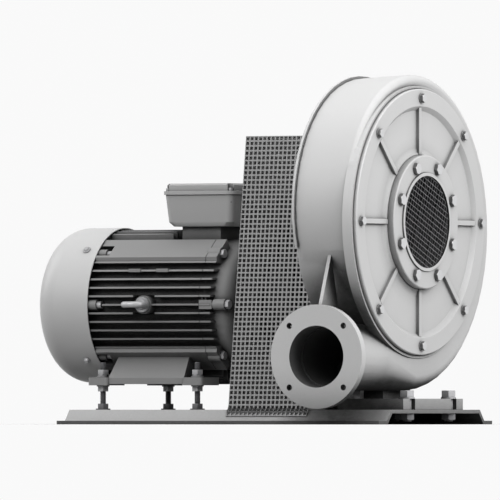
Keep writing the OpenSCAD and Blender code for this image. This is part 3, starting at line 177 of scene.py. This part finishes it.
def shaded_in_corners(tree, given, colour):
    """Paints shade into the corners over a colour, and gives the new colour and the shade's mask."""
    placed = tree.nodes.new("ShaderNodeGroup")
    placed.node_tree = corner_shade
    for label in ("Reach", "ShadeStrength", "Closed"):
        link(tree, given.outputs[label], placed.inputs[label])
    mask = placed.outputs["Mask"]
    return mixed(tree, mask, colour, shade_black), mask


def make_paint_group():
    """Sprayed paint: slow mottling of its tone, orange-peel relief and a little settled dust."""
    tree, given, result = group(
        "sprayed_paint",
        [("Colour", "colour"), ("Mottle", 0.05), ("Dust", 0.12), ("Peel", 1.0), ("Gloss", 0.45),
         ("ShadeStrength", 0.5), ("Reach", 0.02), ("Closed", 0.25)],
        [("Colour", "colour"), ("Roughness", 0.0), ("Height", 0.0)])
    cloudy = noise(tree, 9, 5, 0.6)
    speck = noise(tree, 160, 3, 0.6)
    peel = noise(tree, 900, 2, 0.5)
    swell = noise(tree, 38, 2, 0.5)
    tone = darkened(tree, given.outputs["Colour"], cloudy, given.outputs["Mottle"])
    upward = ranged(tree, facing(tree, "Z"), 0.55, 1.0, 0.0, 1.0)
    grains = ranged(tree, speck, 0.45, 0.75, 0.2, 1.0)
    dust = maths(tree, "MULTIPLY", maths(tree, "MULTIPLY", upward, grains), given.outputs["Dust"])
    dusty = mixed(tree, dust, tone, dust_colour)
    # Painted shade: the colour goes near black in corners and hollows, from ambient occlusion
    coloured, shade_strength = shaded_in_corners(tree, given, dusty)
    link(tree, coloured, result.inputs["Colour"])
    rough = maths(tree, "ADD", given.outputs["Gloss"], ranged(tree, cloudy, 0.3, 0.7, -0.05, 0.06))
    matt = maths(
        tree, "ADD", maths(tree, "MULTIPLY", dust, 0.6), maths(tree, "MULTIPLY", shade_strength, 0.5))
    link(tree, maths(tree, "ADD", rough, matt), result.inputs["Roughness"])
    relief = maths(
        tree, "ADD", maths(tree, "MULTIPLY", peel, 0.35), maths(tree, "MULTIPLY", swell, 1.0))
    link(tree, maths(tree, "MULTIPLY", relief, given.outputs["Peel"]), result.inputs["Height"])
    return tree


def make_metal_group():
    """Bare or plated metal: fine streaks along one direction, smudges and small pits."""
    tree, given, result = group(
        "metal_surface",
        [("Colour", "colour"), ("Smudge", 0.15), ("Rough", 0.3), ("ShadeStrength", 0.5), ("Reach", 0.01),
         ("Closed", 0.25)],
        [("Colour", "colour"), ("Roughness", 0.0), ("Height", 0.0)])
    smudges = noise(tree, 55, 4, 0.6)
    streaks = noise(tree, 260, 3, 0.6, (1.0, 1.0, 0.12))
    pits = noise(tree, 1400, 2, 0.5)
    tone = darkened(tree, given.outputs["Colour"], smudges, given.outputs["Smudge"])
    # Painted shade: the colour goes near black in corners and hollows, from ambient occlusion
    coloured, shade_strength = shaded_in_corners(tree, given, tone)
    link(tree, coloured, result.inputs["Colour"])
    spread = maths(
        tree, "ADD", ranged(tree, smudges, 0.3, 0.7, -0.06, 0.08),
        ranged(tree, streaks, 0.3, 0.7, -0.04, 0.05))
    spread = maths(tree, "ADD", spread, maths(tree, "MULTIPLY", shade_strength, 0.4))
    link(tree, maths(tree, "ADD", given.outputs["Rough"], spread), result.inputs["Roughness"])
    height = maths(tree, "ADD", streaks, maths(tree, "MULTIPLY", pits, 0.5))
    link(tree, height, result.inputs["Height"])
    return tree


# Axes of the blower's shaft and of the outlet, and the insides of the volute

blower_axis_z = 0.330
outlet_axis = Vector((0.21075, 0.0, 0.110))
back_wall_front = 0.1550
drum_radius = 0.1912
throat_radius = 0.0751
outlet_radius = 0.0503
outlet_mouth_y = -0.2375
# The inside goes from the mouth's colour to the near-black deep colour over this length: painted shade
outlet_shade_length = 0.11
mouth_colour = (0.07, 0.07, 0.07)
deep_shade_colour = (0.012, 0.012, 0.012)


def away_from_line(tree, across, up, centre):
    """Distance of the surface from a line, in the plane of two of its coordinates."""
    a = maths(tree, "SUBTRACT", coordinate(tree, across), centre[0])
    b = maths(tree, "SUBTRACT", coordinate(tree, up), centre[1])
    squares = maths(tree, "ADD", maths(tree, "POWER", a, 2.0), maths(tree, "POWER", b, 2.0))
    return maths(tree, "SQRT", squares, 0.0)


def make_inside_group():
    """The unpainted inside of the volute: 1 inside its drum, throat and outlet; dark as bare metal, and darker the
    deeper it is as painted shade.
    """
    tree, given, result = group(
        "bare_and_shaded_inside", [("Behind", 0.26)], [("Mask", 0.0), ("Colour", "colour")])
    along_shaft = coordinate(tree, "X")
    from_shaft = away_from_line(tree, "Y", "Z", (0.0, blower_axis_z))
    from_outlet = away_from_line(tree, "X", "Z", (outlet_axis.x, outlet_axis.z))
    behind = maths(tree, "LESS_THAN", along_shaft, given.outputs["Behind"])
    before = maths(tree, "GREATER_THAN", along_shaft, back_wall_front)
    between = maths(tree, "MULTIPLY", behind, before)
    drum = maths(tree, "MULTIPLY", maths(tree, "LESS_THAN", from_shaft, drum_radius), between)
    throat = maths(tree, "MULTIPLY", maths(tree, "LESS_THAN", from_shaft, throat_radius), before)
    pipe = maths(tree, "LESS_THAN", from_outlet, outlet_radius)
    inside = maths(tree, "MAXIMUM", maths(tree, "MAXIMUM", drum, throat), pipe)
    link(tree, inside, result.inputs["Mask"])
    # Painted shade: darker the deeper the surface lies into the outlet
    depth = ranged(
        tree, coordinate(tree, "Y"), outlet_mouth_y, outlet_mouth_y + outlet_shade_length, 0.0, 1.0)
    link(tree, mixed(tree, depth, mouth_colour, deep_shade_colour), result.inputs["Colour"])
    return tree


sprayed_paint = make_paint_group()
metal_surface = make_metal_group()
bare_and_shaded_inside = make_inside_group()


# Materials

def finish(name, surface, colour, metallic, relief, settings, behind=None, shaded_sides=None):
    """A material that places a surface group before one Principled shader.

    behind is the X at which the bare inside with its painted shade starts; the tone for the sides is painted
    shade, put on all faces that don't look along X.
    """
    material = bpy.data.materials.new(name)
    material.use_nodes = True
    tree = material.node_tree
    shader = tree.nodes["Principled BSDF"]
    shader.inputs["Metallic"].default_value = metallic
    placed = tree.nodes.new("ShaderNodeGroup")
    placed.node_tree = surface
    placed.inputs["Colour"].default_value = (*colour, 1)
    for label, value in settings.items():
        placed.inputs[label].default_value = value
    bump = tree.nodes.new("ShaderNodeBump")
    bump.inputs["Distance"].default_value = relief
    bump.inputs["Strength"].default_value = 1.0
    link(tree, placed.outputs["Height"], bump.inputs["Height"])
    shown = placed.outputs["Colour"]
    # Inside the volute: bare dark metal, with painted shade that deepens into the outlet
    if behind:
        inside = tree.nodes.new("ShaderNodeGroup")
        inside.node_tree = bare_and_shaded_inside
        inside.inputs["Behind"].default_value = behind
        shown = mixed(tree, inside.outputs["Mask"], shown, inside.outputs["Colour"])
    # Painted shade: faces that don't look along X take a dark tone, faces looking along X keep the lit colour
    if shaded_sides:
        face = ranged(tree, facing(tree, "X"), 0.55, 0.9, 0.0, 1.0)
        shown = mixed(tree, face, (shaded_sides,) * 3, shown)
    link(tree, shown, shader.inputs["Base Color"])
    link(tree, placed.outputs["Roughness"], shader.inputs["Roughness"])
    link(tree, bump.outputs["Normal"], shader.inputs["Normal"])
    return material


def painted(name, grey, relief=0.00010, gloss=0.42, mottle=0.06, dust=0.10, shade_strength=0.7, reach=0.015,
            closed=0.25, behind=None):
    settings = {
        "Mottle": mottle, "Dust": dust, "Gloss": gloss, "ShadeStrength": shade_strength, "Reach": reach,
        "Closed": closed,
    }
    return finish(name, sprayed_paint, (grey, grey, grey), 0.0, relief, settings, behind=behind)


def metal(name, colour, rough, smudge=0.2, relief=0.00003, metallic=1.0, shade_strength=0.7, reach=0.008,
          shaded_sides=None):
    settings = {"Smudge": smudge, "Rough": rough, "ShadeStrength": shade_strength, "Reach": reach}
    return finish(name, metal_surface, colour, metallic, relief, settings, shaded_sides=shaded_sides)


# The last settings of each finish set its painted shade in corners, hollows and under parts: how dark, how far it
# reaches and where it starts
casting_paint = painted(
    "casting_paint", 0.66, relief=0.00012, gloss=0.46, dust=0.0, shade_strength=0.97, reach=0.10,
    closed=0.45, behind=0.2585)
cover_paint = painted(
    "cover_paint", 0.66, relief=0.00012, gloss=0.46, dust=0.0, shade_strength=0.97, reach=0.032,
    closed=0.35, behind=0.2655)
base_paint = painted(
    "base_paint", 0.53, gloss=0.5, dust=0.04, shade_strength=0.95, reach=0.10, closed=0.45)
cowl_paint = painted("cowl_paint", 0.62, relief=0.00006, gloss=0.40, dust=0.0, shade_strength=0.8)
motor_paint = painted(
    "motor_paint", 0.27, relief=0.00012, gloss=0.5, dust=0.0, shade_strength=1.0, reach=0.055)
box_paint = painted(
    "box_paint", 0.47, relief=0.00010, gloss=0.5, dust=0.0, shade_strength=0.9, reach=0.02)
guard_paint = painted(
    "guard_paint", 0.34, relief=0.00003, gloss=0.5, dust=0.0, shade_strength=0.8, reach=0.006)
zinc_plate = metal(
    "zinc_plate", (0.50, 0.50, 0.51), 0.42, metallic=0.4, shade_strength=0.95, reach=0.016)
# Bright zinc whose faces not looking along X are darkened as painted shade
bright_zinc = metal(
    "bright_zinc", (0.74, 0.74, 0.75), 0.42, metallic=0.3, shade_strength=1.0, reach=0.02, shaded_sides=0.13)
dark_zinc = metal("dark_zinc", (0.26, 0.26, 0.27), 0.45, metallic=0.4, shade_strength=0.9, reach=0.02)
drawn_wire = metal("drawn_wire", (0.36, 0.36, 0.37), 0.4, metallic=0.3, shade_strength=0.0)
# A darker copy of the same wire for the screen's steeper layer: painted shade
shaded_wire = metal("shaded_wire", (0.10, 0.10, 0.105), 0.5, metallic=0.3, shade_strength=0.0)
ground_steel = metal("ground_steel", (0.50, 0.50, 0.51), 0.26)
core_plates = metal("core_plates", (0.12, 0.12, 0.13), 0.5)
cast_alloy = metal("cast_alloy", (0.035, 0.035, 0.037), 0.6, metallic=0.2)
pulley_iron = metal("pulley_iron", (0.03, 0.03, 0.032), 0.5, metallic=0.6)
varnished_copper = metal("varnished_copper", (0.30, 0.12, 0.05), 0.35)
black_plastic = painted("black_plastic", 0.03, relief=0.00005, gloss=0.5, dust=0.05)
black_rubber = painted("black_rubber", 0.018, relief=0.00008, gloss=0.7, dust=0.08)

slot_finish = {
    "base_paint": base_paint,
    "casing_paint": casting_paint,
    "cowl_paint": cowl_paint,
    "motor_paint": motor_paint,
    "box_paint": box_paint,
    "guard_paint": guard_paint,
    "zinc": zinc_plate,
    "wire": drawn_wire,
    "shaft_steel": ground_steel,
    "core_steel": core_plates,
    "impeller_metal": cast_alloy,
    "pulley_iron": pulley_iron,
    "winding": varnished_copper,
    "black_plastic": black_plastic,
    "black_rubber": black_rubber,
}

node_finish = {
    "cover": cover_paint, "inlet_flange": cover_paint, "screen_ring": cover_paint,
    "cover_bolts": bright_zinc, "cover_washers": bright_zinc, "inlet_flange_bolts": bright_zinc,
    "jacking_studs": dark_zinc, "base_nuts": dark_zinc, "base_washers": dark_zinc,
    "casing_bolt_nuts": dark_zinc,
}

for entry in frame["record"]["subparts"]:
    materials = nodes[entry["node"]].data.materials
    materials.clear()
    materials.append(node_finish.get(entry["node"], slot_finish[entry["material_slot"]]))


# Rounded edges, with the width of the rounding in millimetres

edge_width = {
    "cover": 1.0, "inlet_flange": 0.8, "base_plate": 0.8, "stator_frame": 0.6,
    "motor_feet": 1.2, "drive_end_shield": 0.8, "fan_end_shield": 0.6, "fan_cowl": 0.3,
    "terminal_box": 0.8, "terminal_lid": 0.9, "bearing_housing": 1.0, "bearing_cap": 0.6,
    "eyebolt": 0.5, "casing_bolts": 0.5, "cover_bolts": 0.35, "inlet_flange_bolts": 0.4,
    "shield_bolts": 0.35, "adjusting_nuts": 0.35, "base_nuts": 0.35, "casing_bolt_nuts": 0.4,
    "cover_washers": 0.2, "adjusting_washers": 0.2, "base_washers": 0.2, "cowl_screws": 0.2,
    "screen_ring": 0.4, "motor_pulley": 0.5, "blower_pulley": 0.5, "impeller": 0.4,
}
casing_edge_width = 1.6
same_point = 0.000002
flat_angle = math.radians(0.4)
sharp_angle = math.radians(38)


def dress(piece, width):
    """Joins a piece's loose triangles and rounds its edges, leaving its own vertices as they are."""
    for polygon in piece.data.polygons:
        polygon.use_smooth = True
    weld = piece.modifiers.new("join", "WELD")
    weld.merge_threshold = same_point
    flat = piece.modifiers.new("flat_faces", "DECIMATE")
    flat.decimate_type = "DISSOLVE"
    flat.angle_limit = flat_angle
    bevel = piece.modifiers.new("round_edges", "BEVEL")
    bevel.width = width * MM
    bevel.segments = 2
    bevel.limit_method = "ANGLE"
    bevel.angle_limit = sharp_angle
    bevel.miter_outer = "MITER_ARC"
    bevel.use_clamp_overlap = True
    weighted = piece.modifiers.new("even_shading", "WEIGHTED_NORMAL")
    weighted.keep_sharp = True
    weighted.weight = 60


for node, width in edge_width.items():
    dress(nodes[node], width)


# New pieces

def add_piece(name, mesh, body, material):
    piece = bpy.data.objects.new(name, mesh)
    bpy.context.scene.collection.objects.link(piece)
    mesh.materials.append(material)
    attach(piece, body)
    return piece


def finished_mesh(shape, name, smooth=True):
    """Turns a bmesh into a mesh whose faces point outwards."""
    mesh = bpy.data.meshes.new(name)
    bmesh.ops.recalc_face_normals(shape, faces=shape.faces)
    shape.to_mesh(mesh)
    shape.free()
    for polygon in mesh.polygons:
        polygon.use_smooth = smooth
    return mesh


# Cast casing: its gusset runs out to nothing at its top, and its scroll and its outlet start without a step

gusset_half = 0.0035
gusset_foot = Vector((0.0, -0.2245, 0.1945))
gusset_tip = Vector((0.0, -0.193, 0.275))
gusset_top_z = (0.268, 0.270)
gusset_front_y = -0.21

scroll_start = math.radians(-20)
scroll_fade = math.radians(-30)
start_width = 0.004
start_ledge = (0.1961, 0.202)
start_radius = 0.1957

pipe_radius = 0.054
blend_width = 0.055
blend_end_y = -0.096
blend_fade = 0.05
blend_margin = 0.0003


def point_gusset(point):
    """Moves the gusset's blunt top corner onto the line from its foot to its tip."""
    in_gusset = abs(point.x - outlet_axis.x) < gusset_half and point.y < gusset_front_y
    if in_gusset and gusset_top_z[0] < point.z < gusset_top_z[1]:
        share = (point.z - gusset_foot.z) / (gusset_tip.z - gusset_foot.z)
        point.y = gusset_foot.lerp(gusset_tip, share).y


def fade_scroll(point):
    """Moves the ledge at the scroll's start back round the shaft and onto the casing's body."""
    up = point.z - blower_axis_z
    at_start = abs(math.atan2(up, -point.y) - scroll_start) < start_width
    if at_start and start_ledge[0] < math.hypot(up, point.y) < start_ledge[1]:
        point.y = -math.cos(scroll_fade) * start_radius
        point.z = blower_axis_z + math.sin(scroll_fade) * start_radius


def fade_outlet(point):
    """Narrows the outlet's blend to the pipe, and ends it further along the pipe."""
    from_axis = point.x - outlet_axis.x
    level = abs(point.z - outlet_axis.z) < blend_margin
    if level and blend_end_y - 0.002 < point.y < 0.001 and abs(abs(from_axis) - blend_width) < 0.0004:
        point.x = outlet_axis.x + math.copysign(pipe_radius, from_axis)
    on_pipe = abs(math.hypot(from_axis, point.z - outlet_axis.z) - pipe_radius) < 0.0005
    if on_pipe and abs(point.y - blend_end_y) < 0.0015 and point.z < outlet_axis.z + blend_margin:
        point.y -= blend_fade


def make_casing():
    shape = bmesh.new()
    shape.from_mesh(nodes["casing"].data)
    bmesh.ops.remove_doubles(shape, verts=shape.verts, dist=same_point)
    for vert in shape.verts:
        point_gusset(vert.co)
        fade_scroll(vert.co)
        fade_outlet(vert.co)
    mesh = bpy.data.meshes.new("volute_casing")
    shape.to_mesh(mesh)
    shape.free()
    casing = add_piece("volute_casing", mesh, "frame", casting_paint)
    dress(casing, casing_edge_width)
    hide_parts("casing")


make_casing()


# Perforated belt guard

guard_low, guard_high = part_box("belt_guard")
base_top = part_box("base_plate")[1].z
guard_sheet = 0.002
guard_top_half = 0.0925
guard_base_half = 0.152
lip_bend = 0.35
hole_pitch = 0.008
hole_side = 0.0052


def punched_panel(shape, start, end, columns, rows):
    """Adds a panel with square holes between two points of the guard's outline."""
    width = guard_high.x - guard_low.x
    length = (Vector(end) - Vector(start)).length
    grid = bmesh.new()
    bmesh.ops.create_grid(grid, x_segments=columns, y_segments=rows, size=0.5)
    bmesh.ops.scale(grid, vec=(width, length, 1), verts=grid.verts)
    margin = (min(width / columns, length / rows) - hole_side) / 2
    inner = bmesh.ops.inset_individual(
        grid, faces=grid.faces[:], thickness=margin, use_even_offset=True)
    rims = set(inner["faces"])
    bmesh.ops.delete(grid, geom=[f for f in grid.faces if f not in rims], context="FACES")
    across = Vector((1, 0, 0))
    along = Vector((0, end[0] - start[0], end[1] - start[1])).normalized()
    place = Matrix((across, along, across.cross(along))).transposed().to_4x4()
    place.translation = (
        (guard_low.x + guard_high.x) / 2, (start[0] + end[0]) / 2, (start[1] + end[1]) / 2)
    bmesh.ops.transform(grid, matrix=place, verts=grid.verts)
    part = bpy.data.meshes.new("panel")
    grid.to_mesh(part)
    grid.free()
    shape.from_mesh(part)
    bpy.data.meshes.remove(part)


def make_belt_guard():
    """One bent sheet: lip, slope, top, slope and lip, each panel punched with its own square holes."""
    lip = base_top - guard_low.z
    lip_out = guard_high.y - guard_base_half
    half = [
        (guard_base_half + lip_out, base_top - lip),
        (guard_base_half + lip_out * lip_bend, base_top - lip * lip_bend),
        (guard_base_half, base_top),
        (guard_top_half, guard_high.z),
    ]
    corners = [(-y, z) for y, z in half] + half[::-1]
    columns = round((guard_high.x - guard_low.x) / hole_pitch)
    shape = bmesh.new()
    for start, end in zip(corners, corners[1:]):
        rows = max(1, round((Vector(end) - Vector(start)).length / hole_pitch))
        punched_panel(shape, start, end, columns, rows)
    bmesh.ops.remove_doubles(shape, verts=shape.verts, dist=0.00002)
    mesh = finished_mesh(shape, "perforated_guard", smooth=False)
    guard = add_piece("perforated_guard", mesh, "frame", guard_paint)
    sheet = guard.modifiers.new("sheet", "SOLIDIFY")
    sheet.thickness = guard_sheet
    sheet.offset = -1
    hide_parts("belt_guard")


make_belt_guard()


# Woven wire screen behind the inlet ring

screen_low, screen_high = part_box("inlet_screen")
screen_centre = (screen_low + screen_high) / 2
screen_radius = (screen_high.y - screen_low.y) / 2
screen_margin = 0.003
screen_turn = math.radians(-22)
wire_radius = 0.00052
wire_pitch = 0.0082
wire_wave = 0.0006
wire_sides = 6


def wavy_wire(shape, length, offset, over):
    """One wavy wire along X at y = offset, passing over and under its crossings."""
    step = wire_pitch / 2
    count = int(length / step)
    ring = bmesh.ops.create_circle(shape, segments=wire_sides, radius=wire_radius)["verts"]
    bmesh.ops.rotate(shape, verts=ring, matrix=Matrix.Rotation(math.pi / 2, 3, "Y"))
    start = -count * step / 2
    bmesh.ops.translate(shape, verts=ring, vec=(start, offset, 0))
    edges = list({e for v in ring for e in v.link_edges})
    for k in range(count):
        phase = math.pi * (start + (k + 1) * step) / wire_pitch + math.pi / 2
        before = math.pi * (start + k * step) / wire_pitch + math.pi / 2
        lift = over * wire_wave * (math.sin(phase) - math.sin(before))
        made = bmesh.ops.extrude_edge_only(shape, edges=edges)["geom"]
        moved = [g for g in made if isinstance(g, bmesh.types.BMVert)]
        bmesh.ops.translate(shape, verts=moved, vec=(step, 0, lift))
        edges = [
            g for g in made
            if isinstance(g, bmesh.types.BMEdge) and all(v in moved for v in g.verts)]


def make_inlet_screen():
    """Two layers of wires at right angles, the steeper layer in a darker copy of the same wire as painted shade.
    """
    shape = bmesh.new()
    half = int(screen_radius / wire_pitch)
    for turn in (0, 1):
        part = bmesh.new()
        for i in range(-half, half + 1):
            offset = i * wire_pitch
            chord = 2 * math.sqrt(max(screen_radius ** 2 - offset ** 2, 0)) - screen_margin
            if chord > wire_pitch:
                wavy_wire(part, chord, offset, 1 if (i + turn) % 2 else -1)
        if turn:
            quarter = Matrix.Rotation(math.pi / 2, 3, "Z")
            bmesh.ops.rotate(part, verts=part.verts, matrix=quarter)
        for face in part.faces:
            face.material_index = 1 - turn
        layer = bpy.data.meshes.new("layer")
        part.to_mesh(layer)
        part.free()
        shape.from_mesh(layer)
        bpy.data.meshes.remove(layer)
    bmesh.ops.holes_fill(shape, edges=[e for e in shape.edges if e.is_boundary])
    bmesh.ops.rotate(shape, verts=shape.verts, matrix=Matrix.Rotation(screen_turn, 3, "Z"))
    bmesh.ops.rotate(shape, verts=shape.verts, matrix=Matrix.Rotation(math.pi / 2, 3, "Y"))
    bmesh.ops.translate(shape, verts=shape.verts, vec=screen_centre)
    mesh = finished_mesh(shape, "woven_screen")
    screen = add_piece("woven_screen", mesh, "frame", drawn_wire)
    screen.data.materials.append(shaded_wire)
    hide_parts("inlet_screen")


make_inlet_screen()


# Threaded studs that carry the motor

stud_radius = 0.005
stud_corner = 0.001
thread_pitch = 0.0015
thread_depth = 0.0008
thread_sides = 16


def make_threaded_studs():
    """Four studs, each a zigzag outline turned once while it rises by one pitch."""
    low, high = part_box("jacking_studs")
    profile = bmesh.new()
    pitches = math.ceil((high.z - low.z) / thread_pitch) + 1
    bottom = low.z - thread_pitch
    ring = [profile.verts.new((stud_radius - thread_depth, 0, bottom))]
    edges = []
    for k in range(2 * pitches):
        crest = stud_radius if k % 2 == 0 else stud_radius - thread_depth
        ring.append(profile.verts.new((crest, 0, bottom + (k + 1) * thread_pitch / 2)))
        edges.append(profile.edges.new(ring[-2:]))
    bmesh.ops.spin(
        profile, geom=ring + edges, axis=(0, 0, 1), cent=(0, 0, 0),
        dvec=(0, 0, thread_pitch / thread_sides), angle=2 * math.pi, steps=thread_sides)
    bmesh.ops.remove_doubles(profile, verts=profile.verts, dist=0.00001)
    for height, up in ((low.z, -1), (high.z, 1)):
        geometry = profile.verts[:] + profile.edges[:] + profile.faces[:]
        bmesh.ops.bisect_plane(
            profile, geom=geometry, plane_co=(0, 0, height), plane_no=(0, 0, up), clear_outer=True)
    bmesh.ops.holes_fill(profile, edges=[e for e in profile.edges if e.is_boundary])
    # Turned-off corner at the top
    for vert in profile.verts:
        limit = stud_radius - stud_corner + (high.z - vert.co.z)
        reach = vert.co.xy.length
        if reach > limit:
            vert.co.xy *= limit / reach
    stud = bpy.data.meshes.new("stud")
    profile.to_mesh(stud)
    profile.free()
    shape = bmesh.new()
    for x in (low.x + stud_radius, high.x - stud_radius):
        for y in (low.y + stud_radius, high.y - stud_radius):
            before = len(shape.verts)
            shape.from_mesh(stud)
            shape.verts.ensure_lookup_table()
            bmesh.ops.translate(shape, verts=shape.verts[before:], vec=(x, y, 0))
    bpy.data.meshes.remove(stud)
    mesh = finished_mesh(shape, "threaded_studs", smooth=False)
    piece = add_piece("threaded_studs", mesh, "frame", dark_zinc)
    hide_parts("jacking_studs")


make_threaded_studs()


# Stage, light and camera

backdrop_level = 0.95
floor_tone = 0.85
floor_bounce = 0.05
floor_radius = 5
floor_fade = (0.4, 1.1)
fill_from_above = 0.40
fill_from_below = 0.02

# Name, place, point it looks at, size and power of each lamp
soft_boxes = (
    ("overhead", (0.0, -0.2, 2.7), (0.0, 0.0, 0.2), (2.0, 2.0), 20),
    ("front_high", (-0.5, -2.4, 1.5), (0.0, 0.0, 0.25), (1.8, 1.2), 32),
    ("right_high", (2.4, -0.3, 1.3), (0.2, 0.0, 0.35), (1.4, 1.4), 50),
    ("left_rim", (-2.4, -0.3, 1.4), (-0.3, 0.0, 0.3), (1.0, 1.6), 14),
)

camera_azimuth = math.radians(29.4)
camera_distance = 26.2
camera_target = Vector((-0.0462, 0.0, 0.286))
camera_lens = 1150
camera_sensor = 36
camera_reach = 200


def seen_rays(tree):
    """1 for what the camera sees, directly, in a reflection or through glass, and 0 for what lights the object."""
    rays = tree.nodes.new("ShaderNodeLightPath")
    eye = maths(tree, "MAXIMUM", rays.outputs["Is Camera Ray"], rays.outputs["Is Glossy Ray"])
    return maths(tree, "MAXIMUM", eye, rays.outputs["Is Transmission Ray"])


def make_floor():
    """A round pale floor that runs into the backdrop without a line."""
    mesh = bpy.data.meshes.new("floor")
    shape = bmesh.new()
    bmesh.ops.create_circle(shape, cap_ends=True, segments=96, radius=floor_radius)
    shape.to_mesh(mesh)
    shape.free()
    floor = bpy.data.objects.new("floor", mesh)
    bpy.context.scene.collection.objects.link(floor)
    material = bpy.data.materials.new("pale_floor")
    material.use_nodes = True
    tree = material.node_tree
    shader = tree.nodes["Principled BSDF"]
    shader.inputs["Roughness"].default_value = 0.9
    shader.inputs["Specular IOR Level"].default_value = 0.1
    # Pale to the eye, and darker to the light that would bounce from it onto the underside
    seen = seen_rays(tree)
    tone = mixed(tree, seen, (floor_bounce,) * 3, (floor_tone,) * 3)
    link(tree, tone, shader.inputs["Base Color"])
    place = tree.nodes.new("ShaderNodeTexCoord")
    distance = tree.nodes.new("ShaderNodeVectorMath")
    distance.operation = "LENGTH"
    link(tree, place.outputs["Object"], distance.inputs[0])
    far = ranged(tree, distance.outputs["Value"], floor_fade[0], floor_fade[1], 0.0, 1.0)
    glow = tree.nodes.new("ShaderNodeEmission")
    glow.inputs["Strength"].default_value = backdrop_level
    merge = tree.nodes.new("ShaderNodeMixShader")
    link(tree, maths(tree, "MULTIPLY", far, seen), merge.inputs[0])
    link(tree, shader.outputs[0], merge.inputs[1])
    link(tree, glow.outputs[0], merge.inputs[2])
    link(tree, merge.outputs[0], tree.nodes["Material Output"].inputs["Surface"])
    mesh.materials.append(material)


def make_world():
    """Soft fill light, stronger from above, and a pale backdrop that only the camera and reflections see."""
    world = bpy.data.worlds.new("studio")
    bpy.context.scene.world = world
    world.use_nodes = True
    tree = world.node_tree
    tree.nodes.clear()
    out = tree.nodes.new("ShaderNodeOutputWorld")
    height = split(tree, tree.nodes.new("ShaderNodeTexCoord").outputs["Generated"], "Z")
    light = tree.nodes.new("ShaderNodeBackground")
    light.inputs["Color"].default_value = (1, 1, 1, 1)
    fill = ranged(tree, height, -0.1, 0.8, fill_from_below, fill_from_above)
    link(tree, fill, light.inputs["Strength"])
    backdrop = tree.nodes.new("ShaderNodeBackground")
    backdrop.inputs["Color"].default_value = (1, 1, 1, 1)
    backdrop.inputs["Strength"].default_value = backdrop_level
    mix = tree.nodes.new("ShaderNodeMixShader")
    link(tree, seen_rays(tree), mix.inputs[0])
    link(tree, light.outputs[0], mix.inputs[1])
    link(tree, backdrop.outputs[0], mix.inputs[2])
    link(tree, mix.outputs[0], out.inputs[0])


def look_at(holder, place, aim):
    holder.location = place
    holder.rotation_euler = (Vector(aim) - Vector(place)).to_track_quat("-Z", "Y").to_euler()


def make_lamp(name, place, aim, size, power):
    lamp = bpy.data.lights.new(name, "AREA")
    lamp.shape = "RECTANGLE"
    lamp.size, lamp.size_y = size
    lamp.energy = power
    holder = bpy.data.objects.new(name, lamp)
    bpy.context.scene.collection.objects.link(holder)
    look_at(holder, place, aim)


def make_camera():
    """A long lens far away, at the height of the base, because the photo has almost no perspective."""
    lens = bpy.data.cameras.new("camera")
    lens.lens = camera_lens
    lens.sensor_width = camera_sensor
    lens.clip_end = camera_reach
    holder = bpy.data.objects.new("camera", lens)
    bpy.context.scene.collection.objects.link(holder)
    away = Vector((math.sin(camera_azimuth), -math.cos(camera_azimuth), 0)) * camera_distance
    place = Vector((camera_target.x, camera_target.y, base_top)) + away
    look_at(holder, place, camera_target)
    bpy.context.scene.camera = holder


make_floor()
make_world()
for soft_box in soft_boxes:
    make_lamp(*soft_box)
make_camera()

bpy.context.scene.view_settings.view_transform = "Standard"
